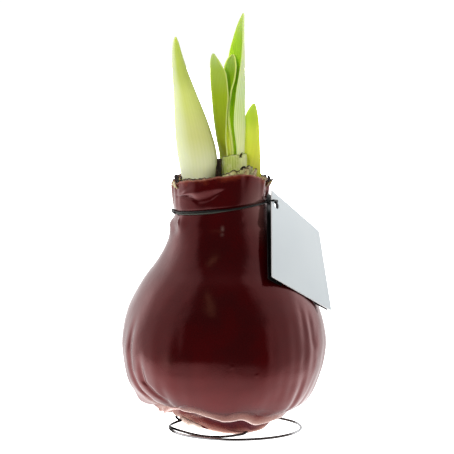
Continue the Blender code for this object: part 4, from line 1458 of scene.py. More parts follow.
def scale_ring(radius, wall, rise, seed):
    """One cut scale. It lies flat where the bud or the small leaf stands."""
    lift = rise + 0.00030 * ragged(ring_angles, seed, 4, 14)
    lift = lift + 0.00012 * ragged(ring_angles, seed + 1, 25, 60)
    bud_gap = (BUD_ANGLE, math.degrees(math.asin(BUD_CLEARANCE / radius)))
    for centre, half in (bud_gap, SMALL_LEAF_GAP):
        lift = lift * smooth_step(half, half + SCALE_RAMP, np.abs(angle_off(ring_angles, centre)))
    wobble = 0.00025 * ragged(ring_angles, seed + 2, 3, 9)
    a = np.radians(ring_angles)
    middle = table_at(NECK_SHIFT, NECK_FLOOR)
    rows = []
    for inwards, share in SCALE_SECTION:
        r = radius + wobble - wall * inwards
        z = NECK_FLOOR - SCALE_ROOT + (lift + SCALE_ROOT) * share
        rows.append(np.stack([r * np.cos(a) + middle, r * np.sin(a), z], axis=-1))
    grid = np.array(rows)
    distance = (NECK_FLOOR + lift[None, :] - grid[..., 2]) * 1000
    return grid, "round", {"from_edge": distance, "across": a[None, :] * 4, "dry": 0.0}


print("tunic's torn edge, mm:", (1000 * tunic_top(np.array([180.0, 270.0, 348.0]))).round(1))

# %% [markdown]
# The bulb fills the wax, a little inside it, and ends in a cut floor in the neck. The floor
# rises and sinks in fine rings, one for each scale that was cut through.

# %% The bulb's body and its cut floor
BULB_NECK = (0.1045, 0.1078)
FLOOR_RADII = (0.0188, 0.0006)
FLOOR_RING_WIDTH = 0.00105
FLOOR_RING_HEIGHT = 0.00022


def bulb_body():
    """The bulb inside the wax, closed by the cut floor of its neck, which has shallow rings."""
    angle = np.arange(120) * 3.0
    sides = skin_rows(angle, inset(hollow_stations(16), GAP))
    band = band_rows(angle, WAX_THICKNESS + GAP, 5)
    inside = NECK_RADIUS - WAX_THICKNESS - GAP
    neck = skin_point(angle[None, :], inside, np.linspace(*BULB_NECK, 3)[:, None])
    a = np.radians(angle)
    middle = table_at(NECK_SHIFT, NECK_FLOOR)
    rings = []
    for radius in np.linspace(*FLOOR_RADII, 46):
        z = NECK_FLOOR + FLOOR_RING_HEIGHT * math.sin(radius / FLOOR_RING_WIDTH * math.pi) - 0.0001
        x = radius * np.cos(a) + middle
        rings.append(np.stack([x, radius * np.sin(a), np.full(len(a), z)], axis=-1))
    grid = np.concatenate([sides, band[band[:, 0, 2] < BULB_NECK[0]], neck, np.array(rings)])
    return grid, "fan", {"from_edge": 3.0, "across": np.radians(angle)[None, :] * 4, "dry": 0.0}


print("floor of the cut neck at", NECK_FLOOR)

# %% [markdown]
# The leaves come out of a pale sheath, cut off short, with one torn scale standing in front
# of it, a dark strip beside it and a few torn stubs. They are plates bent round the leaves'
# middle. A plate is a stack of flat loops, each out along its front and back along its
# back, which keeps both faces and the torn top in one closed skin. The dark strip is painted
# shade: a black sheet that stands in the shadowed gap between the bud and the sheath.

# %% Plates, flakes and stubs
SHEATH_CENTRE = (0.00475, 0.0)
SHEATH_RADIUS = 0.00565
SHEATH_WALL = 0.0007
SHEATH_TOP = (
    (200, 0.1219),
    (235, 0.1228),
    (278, 0.1236),
    (292, 0.1234),
    (298, 0.1227),
    (306, 0.1242),
    (325, 0.1238),
    (480, 0.1215),
)
FRONT_SCALE_RADIUS = 0.0081
FRONT_SCALE_WALL = 0.0006
FRONT_SCALE_TOP = (
    (226, 0.1146),
    (232, 0.1150),
    (252, 0.1158),
    (268, 0.1171),
    (276, 0.1166),
    (288, 0.1168),
    (306, 0.1172),
    (342, 0.1172),
)
SECOND_SCALE_RADIUS = 0.0093
SECOND_SCALE_WALL = 0.0005
SECOND_SCALE_TOP = (
    (286, 0.1176),
    (296, 0.1185),
    (303, 0.1180),
    (312, 0.1189),
    (322, 0.1184),
    (332, 0.1178),
)
PLATE_ROWS = 26


def bent_plate(radius, wall, top, bottom, steps, seed, tear, singed=1.0):
    """An upright plate round the leaves' middle, with a torn top edge. Singed makes its
    dark edge that many times wider."""
    turn = np.linspace(top[0][0], top[-1][0], steps)
    draw = np.random.default_rng(seed)
    jags = np.convolve(draw.normal(0, tear, steps + 2), (0.25, 0.5, 0.25), mode="valid")
    heights = table_at(top, turn) + jags
    up = np.linspace(0, 1, PLATE_ROWS)[:, None]
    thin = 1 - 0.55 * smooth_step(0.85, 1.0, up)
    z = bottom + (heights[None, :] - bottom) * up
    sides = []
    for inwards in (0.0, 1.0):
        r = radius - wall * (0.5 + (inwards - 0.5) * thin)
        a = np.radians(turn)[None, :]
        x = SHEATH_CENTRE[0] + r * np.cos(a)
        y = SHEATH_CENTRE[1] + r * np.sin(a)
        sides.append(np.stack(np.broadcast_arrays(x, y, z), axis=-1))
    grid = np.concatenate([sides[0], sides[1][:, ::-1]], axis=1)
    across = np.concatenate([turn, turn[::-1]])[None, :] / 40
    distance = np.concatenate([heights, heights[::-1]])[None, :] - grid[..., 2]
    return grid, "ladder", {"from_edge": distance * 1000 / singed, "across": across, "dry": 0.0}


def curled_strip(route, width, wall, dry, fresh, seed):
    """A torn strip along a route. Fresh is the pale length below its dark end, in mm."""
    spine = smooth_route(route, 22)
    ahead = np.gradient(spine, axis=0)
    ahead /= np.linalg.norm(ahead, axis=1)[:, None]
    outwards = spine - np.array([*SHEATH_CENTRE, 0]) * (1, 1, 0)
    outwards[:, 2] = 0
    across = np.cross(ahead, outwards)
    across /= np.linalg.norm(across, axis=1)[:, None]
    normal = np.cross(across, ahead)
    at = np.linspace(0, 1, len(spine))
    draw = np.random.default_rng(seed)
    jags = np.convolve(draw.normal(0, 0.12, len(spine) + 2), (0.25, 0.5, 0.25), mode="valid")
    half = width / 2 * (1 - 0.45 * at**3 + jags)
    rows = []
    for side in (1, -1):
        for u in np.linspace(-side, side, 7):
            cup = 0.25 * width * (u * u - 0.5)
            rows.append(spine + across * (half * u)[:, None] + normal * (cup + side * wall / 2))
    grid = np.array(rows).transpose(1, 0, 2)
    values = {"from_edge": (1 - at)[:, None] * fresh, "across": 0.5, "dry": dry}
    return grid, "ladder", values


# Each strip: its route, width, how dry it is, and its pale length. Those with none are black.
STRIP_ROUTES = (
    (((0.0098, -0.0086, 0.1125), (0.0100, -0.0090, 0.1165), (0.0104, -0.0094, 0.1180)), 0.0030, 0.3, 4.0),
    (((0.0132, -0.0070, 0.1125), (0.0136, -0.0074, 0.1160), (0.0143, -0.0078, 0.1177)), 0.0024, 0.3, 3.0),
    (((0.0079, -0.0088, 0.1172), (0.0084, -0.0096, 0.1184), (0.0096, -0.0098, 0.1188)), 0.0009, 0.0, 0.0),
    # A black strip in the gap beside the sheath: painted shade for the shadowed gap.
    (((-0.0018, -0.0046, 0.1070), (-0.0018, -0.0048, 0.1150), (-0.0015, -0.0048, 0.1216)), 0.0040, 1.0, 0.0),
    (((-0.0199, -0.0103, 0.1118), (-0.0203, -0.0101, 0.1134), (-0.0197, -0.0106, 0.1147)), 0.0038, 1.0, 0.0),
    (((-0.0187, -0.0118, 0.1132), (-0.0184, -0.0122, 0.1142), (-0.0187, -0.0124, 0.1150)), 0.0012, 1.0, 0.0),
    (((-0.0210, -0.0080, 0.1130), (-0.0213, -0.0078, 0.1141), (-0.0209, -0.0082, 0.1149)), 0.0012, 1.0, 0.0),
    (((-0.0206, -0.0092, 0.1090), (-0.0214, -0.0095, 0.1108), (-0.0216, -0.0096, 0.1122)), 0.0024, 0.7, 9.0),
    (((-0.0212, -0.0050, 0.1085), (-0.0222, -0.0053, 0.1104), (-0.0229, -0.0054, 0.1112)), 0.0022, 0.7, 3.0),
    (((0.0168, -0.0106, 0.1105), (0.0178, -0.0112, 0.1138), (0.0186, -0.0116, 0.1145)), 0.0030, 0.5, 3.0),
    (((0.0192, -0.0085, 0.1120), (0.0200, -0.0090, 0.1132), (0.0196, -0.0088, 0.1146)), 0.0018, 1.0, 0.0),
    (((0.0183, -0.0100, 0.1135), (0.0184, -0.0102, 0.1146), (0.0177, -0.0098, 0.1150)), 0.0012, 1.0, 0.0),
    (((0.0198, -0.0060, 0.1110), (0.0206, -0.0064, 0.1124), (0.0218, -0.0067, 0.1127)), 0.0013, 1.0, 0.0),
    (((0.0193, -0.0058, 0.1095), (0.0203, -0.0060, 0.1112), (0.0209, -0.0062, 0.1121)), 0.0028, 0.0, 4.0),
)
NOTCH_CURL = (
    ((0.0074, -0.0052, 0.1222), (0.0077, -0.0058, 0.1236), (0.0083, -0.0058, 0.1241)),
    0.0010,
    1.0,
    0.0,
)
STRIP_WALL = 0.0003
scale_foot = NECK_FLOOR - SCALE_ROOT
front_scale = bent_plate(
    FRONT_SCALE_RADIUS, FRONT_SCALE_WALL, FRONT_SCALE_TOP, scale_foot, 60, 71, 0.00022, singed=2.0
)
second_scale = bent_plate(
    SECOND_SCALE_RADIUS, SECOND_SCALE_WALL, SECOND_SCALE_TOP, scale_foot, 40, 73, 0.00030, singed=2.2
)
strips = []
for seed, (route, width, *rest) in enumerate(STRIP_ROUTES, start=80):
    strips.append(curled_strip(route, width, STRIP_WALL, *rest, seed))
print(len(strips), "torn strips and stubs")

# %% [markdown]
# ## Finish of the tunic and scales
# Dry tunic is thin tan paper with fine lengthwise lines, nearly black along its torn edge.
# Fresh scales are cream to pale green, and brown only along the cut. One material does
# both: the points carry how dry they are, and how far they are from the torn edge.

# %% Scale finish
FLESH = paint(232, 224, 184)
FLESH_GREEN = paint(196, 198, 128)
TAN_PAPER = paint(206, 166, 118)
PALE_PAPER = paint(240, 220, 186)
TORN_BROWN = paint(30, 20, 13)
STAIN = paint(104, 84, 44)

scale_finish, tree, shader = new_finish(
    "bulb scales", FLESH, 0.55, Subsurface_Weight=0.15, Subsurface_Scale=0.002
)
edge = attribute(tree, "from_edge")
lines = use_group(tree, veins, Across=attribute(tree, "across"), Count=16.0, Wander=1.4)
blotch = use_group(tree, patches, Scale=260.0, Detail=4.0, Low=0.38, High=0.62)["Mask"]
flesh = mix_colours(tree, blotch, FLESH, FLESH_GREEN)
paper = mix_colours(tree, lines["Line"], TAN_PAPER, PALE_PAPER)
stain = use_group(tree, patches, Scale=620.0, Detail=3.0, Low=0.42, High=0.60)["Mask"]
flesh = tint(tree, flesh, stain, 0.75, STAIN)
body_colour = mix_colours(tree, attribute(tree, "dry"), flesh, paper)
torn = use_group(tree, torn_edge, Distance=edge, Width=0.45, Roughness=0.5)["Mask"]
plug(tree, shader.inputs["Base Color"], mix_colours(tree, torn, body_colour, TORN_BROWN))
raise_surface(tree, shader, lines["Height"], 0.5, 0.0002)

bulb_parts = [bulb_body(), tunic_ring(), front_scale, second_scale, *strips]
bulb_parts += [scale_ring(*scale, seed=90 + 5 * k) for k, scale in enumerate(INNER_SCALES)]
add_piece("bulb", bulb_parts, "bulb", scale_finish)

# %% [markdown]
# ## The bud
# The bud is a flattened spear: two papery bracts that meet at its edges and hold the
# flowers. Its sides come from one table of edges, and its section is an oval with slightly
# sharp ends. Faint ribs run up it, and it goes from cream at the foot to green at the tip.

# %% Build the bud
BUD_Y = -0.0010
BUD_EDGE_POWER = 1.15
BUD_EDGES = (
    (NECK_FLOOR + GAP, -0.0179, -0.0038, 0.0046),
    (0.1136, -0.0187, -0.0029, 0.0050),
    (0.1190, -0.0196, -0.0026, 0.0052),
    (0.1243, -0.0205, -0.0031, 0.0052),
    (0.1350, -0.0214, -0.0060, 0.0049),
    (0.1508, -0.0220, -0.0121, 0.0040),
    (0.1614, -0.0226, -0.0162, 0.0030),
    (0.1690, -0.0226, -0.0186, 0.0020),
    (0.1728, -0.0222, -0.0197, 0.0012),
    (0.1751, -0.0214, -0.0207, 0.0005),
)
BUD_COLUMNS = 120
BUD_RIBS = 11
BUD_RIB_HEIGHT = 0.00003


def spear_levels(heights, count):
    """Heights of the rings, closer together towards the tip."""
    return heights[0] + (heights[-1] - heights[0]) * np.sin(np.linspace(0, math.pi / 2, count))


def bud_grid():
    heights = column(BUD_EDGES, 0)
    levels = spear_levels(heights, 110)
    left, right, depth = (flow(heights, column(BUD_EDGES, k), levels)[:, None] for k in (1, 2, 3))
    a = np.linspace(0, 2 * math.pi, BUD_COLUMNS, endpoint=False)[None, :]
    deep = np.sign(np.sin(a)) * np.abs(np.sin(a)) ** BUD_EDGE_POWER
    ribs = BUD_RIB_HEIGHT * np.sin(BUD_RIBS * a * 2) * (depth / 0.005)
    x = (left + right) / 2 + np.cos(a) * ((right - left) / 2 + ribs)
    y = BUD_Y + deep * (depth + ribs)
    grid = np.stack(np.broadcast_arrays(x, y, levels[:, None]), axis=-1)
    along = (levels - levels[0])[:, None] / (levels[-1] - levels[0])
    return grid, "fan", {"along": along, "across": np.cos(a), "round": a / math.pi}


print("rings of the bud and points in each:", bud_grid()[0].shape[:2])

# %% [markdown]
# The bud is pale at its foot and greener towards its tip, with fine veins along it. Its
# left edge is painted lighter and its right edge darker, a painted light and shade, and low
# at the right it is painted darker still, a painted shade.

# %% Bud finish
BUD_STOPS = (
    (0.0, paint(240, 243, 216)),
    (0.12, paint(228, 231, 190)),
    (0.36, paint(206, 208, 134)),
    (0.60, paint(208, 215, 122)),
    (0.78, paint(188, 199, 98)),
    (1.0, paint(180, 196, 88)),
)
bud_finish, tree, shader = new_finish(
    "bud skin", paint(212, 220, 138), 0.42, Subsurface_Weight=0.6, Subsurface_Scale=0.006, IOR=1.4
)
shader.inputs["Subsurface Radius"].default_value = (1.0, 1.0, 0.5)
along = attribute(tree, "along")
bud_colour = ramp(tree, along, BUD_STOPS)
lines = use_group(tree, veins, Across=attribute(tree, "round"), Count=34.0, Wander=1.2)
shade = mix_colours(tree, 1.0, bud_colour, paint(238, 244, 222), blend="MULTIPLY")
bud_colour = tint(tree, bud_colour, lines["Line"], 0.2, shade)
# Painted light on the bud's left edge, painted shade on its right edge and low at its right.
painted_light_left = remap(tree, attribute(tree, "across"), -0.10, -0.85)
bud_colour = tint(tree, bud_colour, painted_light_left, 0.5, paint(236, 242, 216))
painted_shade_right = remap(tree, attribute(tree, "across"), 0.82, 1.0)
bud_colour = tint(tree, bud_colour, painted_shade_right, 0.35, paint(120, 132, 50))
low = remap(tree, along, 0.17, 0.05)
painted_shade_low_right = calculate(tree, "MULTIPLY", low, remap(tree, attribute(tree, "across"), -0.1, 0.9))
bud_colour = tint(tree, bud_colour, painted_shade_low_right, 0.8, paint(116, 108, 60))
plug(tree, shader.inputs["Base Color"], bud_colour)
raise_surface(tree, shader, lines["Height"], 0.15, 0.00012)
add_piece("flower_bud", [bud_grid()], "flower_bud", bud_finish)

# %% [markdown]
# ## The leaves
# Each leaf is a strap that bends along its rib. Its table gives both margins and how far
# the rib stands off the line between them. The plate is thickest at the rib and rounds off
# at the margins, which are a little see-through and are pale: partly their own paler colour
# and partly a painted highlight along them.

# %% Build the leaves
LEAF_FRONT = (
    (NECK_FLOOR + GAP, -0.0012, 0.0016, 0.0019, -0.0022, 0.0003, 0.0002),
    (0.1220, -0.0017, 0.0018, 0.0019, -0.0026, 0.0003, 0.0002),
    (0.1310, -0.0032, 0.0008, 0.0013, -0.0032, -0.0003, -0.0006),
    (0.1408, -0.0045, -0.0004, 0.0016, -0.0040, -0.0003, -0.0012),
    (0.1487, -0.0052, -0.0014, 0.0022, -0.0046, -0.0002, -0.0014),
    (0.1584, -0.0059, -0.0022, 0.0014, -0.0048, -0.0001, -0.0012),
    (0.1637, -0.0058, -0.0026, -0.0011, -0.0048, 0.0, -0.0008),
    (0.1668, -0.0053, -0.0029, -0.0031, -0.0045, 0.0, -0.0004),
    (0.1680, -0.0047, -0.0033, -0.0040, -0.0041, 0.0, -0.0002),
)
LEAF_FOLDED = (
    (NECK_FLOOR + GAP, 0.0014, 0.0006, 0.0042, -0.0018, 0.0006, 0.0014),
    (0.1240, 0.0011, 0.0006, 0.0042, -0.0018, 0.0006, 0.0014),
    (0.1404, 0.0001, 0.0005, 0.0024, -0.0018, 0.0004, 0.0016),
    (0.1506, -0.0002, 0.0004, 0.0035, -0.0016, 0.0003, 0.0018),
    (0.1570, -0.0002, 0.0003, 0.0052, -0.0014, 0.0002, 0.0018),
    (0.1618, 0.0003, 0.0003, 0.0057, -0.0012, 0.0001, 0.0015),
    (0.1655, 0.0018, 0.0004, 0.0053, -0.0008, 0.0, 0.0009),
    (0.1672, 0.0036, 0.0003, 0.0045, 0.0, 0.0, 0.0003),
)
LEAF_TALL = (
    (NECK_FLOOR + GAP, 0.0048, 0.0032, 0.0058, -0.0032, 0.0033, 0.0),
    (0.1240, 0.0044, 0.0034, 0.0058, -0.0032, 0.0036, 0.0),
    (0.1375, 0.0026, 0.0044, 0.0046, -0.0034, 0.0055, 0.0002),
    (0.1500, 0.0014, 0.0050, 0.0055, -0.0030, 0.0057, 0.0004),
    (0.1600, 0.0015, 0.0050, 0.0071, -0.0022, 0.0045, 0.0004),
    (0.1675, 0.0024, 0.0046, 0.0081, -0.0016, 0.0033, 0.0004),
    (0.1740, 0.0041, 0.0038, 0.0086, -0.0008, 0.0019, 0.0004),
    (0.1805, 0.0062, 0.0028, 0.0087, 0.0002, 0.0010, 0.0002),
    (0.1842, 0.0079, 0.0020, 0.0088, 0.0011, 0.0004, 0.0),
    (0.1853, 0.0085, 0.0018, 0.0088, 0.0013, 0.0002, 0.0),
)
LEAF_SMALL = (
    (NECK_FLOOR + GAP, 0.0104, 0.0058, 0.0154, 0.0030, 0.0006, -0.0010),
    (0.1140, 0.0098, 0.0060, 0.0165, 0.0028, 0.0006, -0.0012),
    (0.1300, 0.0090, 0.0060, 0.0160, 0.0028, 0.0004, -0.0014),
    (0.1373, 0.0092, 0.0056, 0.0156, 0.0028, 0.0003, -0.0013),
    (0.1410, 0.0102, 0.0050, 0.0151, 0.0028, 0.0002, -0.0009),
    (0.1437, 0.0118, 0.0043, 0.0145, 0.0031, 0.0, -0.0005),
    (0.1452, 0.0131, 0.0038, 0.0140, 0.0034, 0.0, -0.0002),
)
LEAF_THICKNESS = 0.0012
MARGIN_THICKNESS = 0.0006
LEAF_FULL_WIDTH = 0.006
LEAF_ACROSS = 31
LEAF_UP = 100


def leaf_grid(stations, fold, front_is_outer):
    """A strap leaf as loops out along its front and back behind. Fold 2 is an arc."""
    heights = column(stations, 0)
    levels = spear_levels(heights, LEAF_UP)
    tables = (column(stations, k) for k in range(1, 7))
    x0, y0, x1, y1, rib_x, rib_y = (flow(heights, table, levels)[:, None] for table in tables)
    u = np.sin(np.linspace(-math.pi / 2, math.pi / 2, LEAF_ACROSS))[None, :]
    bend = 1 - np.abs(u) ** fold
    x = (x0 + x1) / 2 + u * (x1 - x0) / 2 + bend * rib_x
    y = (y0 + y1) / 2 + u * (y1 - y0) / 2 + bend * rib_y
    along_x = np.gradient(x, axis=1)
    along_y = np.gradient(y, axis=1)
    length = np.maximum(np.hypot(along_x, along_y), 1e-9)
    width = length.sum(axis=1)[:, None]
    extra = (LEAF_THICKNESS - MARGIN_THICKNESS) * np.minimum(1, width / LEAF_FULL_WIDTH)
    full = (MARGIN_THICKNESS + extra * (1 - u * u)) * np.minimum(1, width / 0.0015)
    thick = full * np.sqrt(np.clip(1 - np.abs(u) ** 16, 0, 1)) + 0.00006
    faces = []
    for side in (0.5, -0.5):
        px = x + side * thick * along_y / length
        py = y - side * thick * along_x / length
        faces.append(np.stack(np.broadcast_arrays(px, py, levels[:, None]), axis=-1))
    grid = np.concatenate([faces[0], faces[1][:, ::-1]], axis=1)
    outer = np.repeat([1.0, 0.0] if front_is_outer else [0.0, 1.0], LEAF_ACROSS)[None, :]
    across = np.concatenate([u, u[:, ::-1]], axis=1)
    along = (levels - levels[0])[:, None] / (levels[-1] - levels[0])
    return grid, "ladder", {"along": along, "across": across, "outer": outer}


print("rows of a leaf and points in each:", leaf_grid(LEAF_TALL, 1.4, False)[0].shape[:2])

# %% [markdown]
# One recipe makes the finish of all four leaves, with its own colours for each: a ramp up
# the leaf for its outer face, another for its inner face, a pale margin, and fine veins
# along its length that also raise its surface.

# %% Leaf finish
def leaf_finish(name, outer_stops, inner_stops, margin, margin_from=0.86):
    finish, tree, shader = new_finish(
        name, outer_stops[0][1], 0.5, Subsurface_Weight=0.5, Subsurface_Scale=0.004, IOR=1.35
    )
    shader.inputs["Subsurface Radius"].default_value = (0.8, 1.0, 0.3)
    along = attribute(tree, "along")
    across = attribute(tree, "across")
    outer = ramp(tree, along, outer_stops)
    inner = ramp(tree, along, inner_stops)
    colour = mix_colours(tree, attribute(tree, "outer"), inner, outer)
    lines = use_group(tree, veins, Across=across, Count=13.0, Wander=0.7)
    darker = mix_colours(tree, 1.0, colour, paint(236, 242, 214), blend="MULTIPLY")
    colour = mix_colours(tree, lines["Line"], colour, darker)
    # The pale margin: partly the leaf's own paler edge, partly a painted highlight.
    at_margin = remap(tree, calculate(tree, "ABSOLUTE", across), margin_from, 0.97)
    plug(tree, shader.inputs["Base Color"], mix_colours(tree, at_margin, colour, margin))
    raise_surface(tree, shader, lines["Height"], 0.2, 0.00012)
    return finish


# The front leaf's ramp is olive-dark low down: painted shade on its lower part.
front_finish = leaf_finish(
    "front leaf",
    (
        (0.0, paint(124, 122, 30)),
        (0.26, paint(124, 126, 24)),
        (0.40, paint(140, 150, 20)),
        (0.66, paint(148, 164, 24)),
        (0.86, paint(160, 175, 70)),
        (1.0, paint(174, 188, 116)),
    ),
    ((0.0, paint(140, 150, 30)), (1.0, paint(120, 168, 30))),
    paint(204, 216, 126),
    margin_from=0.78,
)
folded_finish = leaf_finish(
    "folded leaf",
    ((0.0, paint(206, 216, 110)), (1.0, paint(150, 190, 60))),
    (
        (0.0, paint(238, 238, 150)),
        (0.42, paint(222, 226, 110)),
        (0.64, paint(158, 178, 20)),
        (0.82, paint(140, 172, 24)),
        (1.0, paint(160, 180, 92)),
    ),
    paint(218, 232, 124),
    margin_from=0.82,
)
tall_finish = leaf_finish(
    "tall leaf",
    (
        (0.0, paint(236, 246, 176)),
        (0.22, paint(242, 252, 186)),
        (0.32, paint(228, 242, 172)),
        (0.44, paint(214, 234, 160)),
        (0.56, paint(214, 234, 176)),
        (0.8, paint(230, 240, 186)),
        (1.0, paint(204, 214, 150)),
    ),
    # The tall leaf's inner face is darker in its middle: painted shade, where it lies behind the folded
    # leaf.
    (
        (0.0, paint(150, 172, 30)),
        (0.5, paint(130, 158, 8)),
        (0.66, paint(134, 162, 10)),
        (0.74, paint(164, 194, 48)),
        (0.82, paint(162, 190, 54)),
        (1.0, paint(184, 198, 122)),
    ),
    paint(212, 232, 150),
    margin_from=0.93,
)
small_finish = leaf_finish(
    "small leaf",
    (
        (0.0, paint(178, 164, 96)),
        (0.2, paint(196, 190, 88)),
        (0.42, paint(206, 204, 82)),
        (0.62, paint(200, 202, 78)),
        (0.85, paint(176, 188, 62)),
        (1.0, paint(168, 184, 80)),
    ),
    ((0.0, paint(190, 190, 70)), (1.0, paint(170, 200, 60))),
    paint(208, 214, 104),
)
# Each leaf: its table, how it folds, whether its front is the outer face, its slot and finish.
LEAVES = {
    "leaf_front": (LEAF_FRONT, 2.0, True, "leaf_green", front_finish),
    "leaf_folded": (LEAF_FOLDED, 2.0, False, "leaf_green", folded_finish),
    "leaf_tall": (LEAF_TALL, 1.4, False, "leaf_pale", tall_finish),
    "leaf_small": (LEAF_SMALL, 1.6, True, "leaf_pale", small_finish),
}
for leaf, (stations, fold, front_is_outer, slot, finish) in LEAVES.items():
    add_piece(leaf, [leaf_grid(stations, fold, front_is_outer)], leaf, finish)

# %% [markdown]
# ## The sheath
# The stump of an older leaf wraps the new ones. It is pale green and fleshy with fine
# lines, and its cut top has dried to a thin dark edge with a notch in it.

# %% Sheath
sheath_finish, tree, shader = new_finish(
    "cut sheath", paint(190, 200, 120), 0.45, Subsurface_Weight=0.4, Subsurface_Scale=0.003, IOR=1.4
)
shader.inputs["Subsurface Radius"].default_value = (0.8, 1.0, 0.4)
lines = use_group(tree, veins, Across=attribute(tree, "across"), Count=7.0, Wander=1.0)
sheath_colour = mix_colours(tree, lines["Line"], paint(184, 196, 108), paint(166, 180, 84))
tired = use_group(tree, patches, Scale=330.0, Detail=3.0, Low=0.46, High=0.62)["Mask"]
sheath_colour = tint(tree, sheath_colour, tired, 0.7, paint(204, 208, 140))
browned = use_group(tree, patches, Scale=520.0, Detail=2.0, Low=0.58, High=0.70)["Mask"]
sheath_colour = tint(tree, sheath_colour, browned, 0.5, paint(150, 142, 62))
torn = use_group(tree, torn_edge, Distance=attribute(tree, "from_edge"), Width=0.42, Roughness=0.4)["Mask"]
# The sheath's right part is painted paler: painted light, where it faces the side light.
painted_light_right = remap(tree, attribute(tree, "across"), 7.1, 7.7)
sheath_colour = tint(tree, sheath_colour, painted_light_right, 0.8, paint(228, 234, 164))
plug(tree, shader.inputs["Base Color"], mix_colours(tree, torn, sheath_colour, paint(44, 42, 14)))
raise_surface(tree, shader, lines["Height"], 0.4, 0.00015)
sheath_plate = bent_plate(SHEATH_RADIUS, SHEATH_WALL, SHEATH_TOP, NECK_FLOOR + GAP, 120, 75, 0.00014)
notch_curl = curled_strip(NOTCH_CURL[0], NOTCH_CURL[1], STRIP_WALL, *NOTCH_CURL[2:], 99)
add_piece("cut_sheath", [sheath_plate, notch_curl], "cut_sheath", sheath_finish)

# %% [markdown]
# ## The wire stand
# One length of steel wire is bent to a ring that lies on the table. It comes out of the wax
# foot in front, runs to the left, comes down over the ring's own end there and goes once
# round. The wire's other end is a small hook at the foot's left edge. Its colour is painted
# reflection and shade: some stretches are painted bright, where the wire catches the white
# room, and others nearly black, so the points carry how bright the wire is painted.

# %% Build the stand
WIRE_RADIUS = 0.000575
RING_CENTRE = (0.0053, 0.0)
RING_RADIUS = 0.0292
RING_LIFT = 0.0015
RING_START = 215
RING_TURN = 400
RING_LANDS = (4, 60)
LEAD_IN_STEPS = 60
# Stretches of the ring, in degrees turned: two painted bright as a reflection, and its start and end painted
# nearly black as shade.
BRIGHT_AT_RIGHT = (186, 208, 228, 262)
BRIGHT_IN_FRONT = (306, 330, 362, 376)
BLACK_AT_START = (-1, 0, 40, 90)
BLACK_AT_END = (368, 382, 500, 600)
WIRE_LEAD_IN = (
    (0.0104, -0.0122, 0.0026),
    (0.0104, -0.0146, 0.0017),
    (0.0093, -0.0165, 0.0010),
    (0.0060, -0.0191, 0.0007),
    (0.0017, -0.0216, 0.0006),
    (-0.0030, -0.0232, 0.0007),
    (-0.0080, -0.0236, 0.0010),
    (-0.0129, -0.0218, 0.0015),
)


def ring_point(turned):
    a = math.radians(RING_START - turned)
    z = WIRE_RADIUS + RING_LIFT * (1 - float(smooth_step(*RING_LANDS, turned)))
    return (RING_CENTRE[0] + RING_RADIUS * math.cos(a), RING_CENTRE[1] + RING_RADIUS * math.sin(a), z)


wire_route = np.vstack([
    smooth_route(list(WIRE_LEAD_IN) + [ring_point(0)], LEAD_IN_STEPS),
    [ring_point(turned) for turned in range(2, RING_TURN + 1, 2)],
])
# The wire's other end, which comes out of the foot in a hook.
WIRE_HOOK = (
    (-0.0178, -0.0086, 0.0086),
    (-0.0190, -0.0100, 0.0081),
    (-0.0203, -0.0100, 0.0078),
    (-0.0210, -0.0100, 0.0072),
    (-0.0204, -0.0100, 0.0065),
    (-0.0195, -0.0098, 0.0058),
    (-0.0186, -0.0090, 0.0052),
)
# Painted reflection and shade: the wire's colour runs from black to bright along it.
WIRE_BLACK = paint(16, 14, 14)
WIRE_DULL = paint(84, 78, 76)
WIRE_BRIGHT = paint(214, 214, 216)
WIRE_EDGE = (0.45, 0.45, 0.45, 1.0)
wire_finish, tree, shader = new_finish("steel wire", WIRE_DULL, 0.14, Metallic=1.0, Specular_Tint=WIRE_EDGE)
wire_stops = ((0.0, WIRE_BLACK), (0.4, WIRE_DULL), (1.0, WIRE_BRIGHT))
plug(tree, shader.inputs["Base Color"], ramp(tree, attribute(tree, "painted_brightness"), wire_stops))
drawn = use_group(tree, patches, Scale=900.0, Detail=2.0, Low=0.3, High=0.7)["Mask"]
plug(tree, shader.inputs["Roughness"], remap(tree, drawn, 0.0, 1.0, 0.10, 0.24))
wire_grid, wire_cap = tube_grid(wire_route, WIRE_RADIUS)
ring_turned = np.concatenate([np.zeros(LEAD_IN_STEPS), np.arange(2, RING_TURN + 1, 2)])
# Painted reflection where the wire is bright, and painted shade where it is dark.
painted_shine = within(ring_turned, BRIGHT_AT_RIGHT) + 0.9 * within(ring_turned, BRIGHT_IN_FRONT)
painted_dark = within(ring_turned, BLACK_AT_START) * (ring_turned > 0) + within(ring_turned, BLACK_AT_END)
wire_painted_brightness = (0.4 + 0.6 * painted_shine - 0.4 * painted_dark)[:, None]
hook_grid, hook_cap = tube_grid(smooth_route(WIRE_HOOK, 40), WIRE_RADIUS * 0.9)
stand_parts = [(wire_grid, wire_cap, {"painted_brightness": wire_painted_brightness}), (hook_grid, hook_cap, {"painted_brightness": 0.0})]
stand = add_piece("stand", stand_parts, "stand", wire_finish)
stand.visible_glossy = False

# %% [markdown]
# ## The elastic tie
# Two strands of black elastic go round the neck side by side and cross now and then. Their
# ends overlap at the left, and a loop of it goes through the card. The strands are tubes
# that wind about the tie's middle line, and lie on the wax where it is pinched.

# %% Build the tie
STRAND_RADIUS = 0.00038
STRAND_APART = 0.00044
STRAND_DEPTH = 0.00020
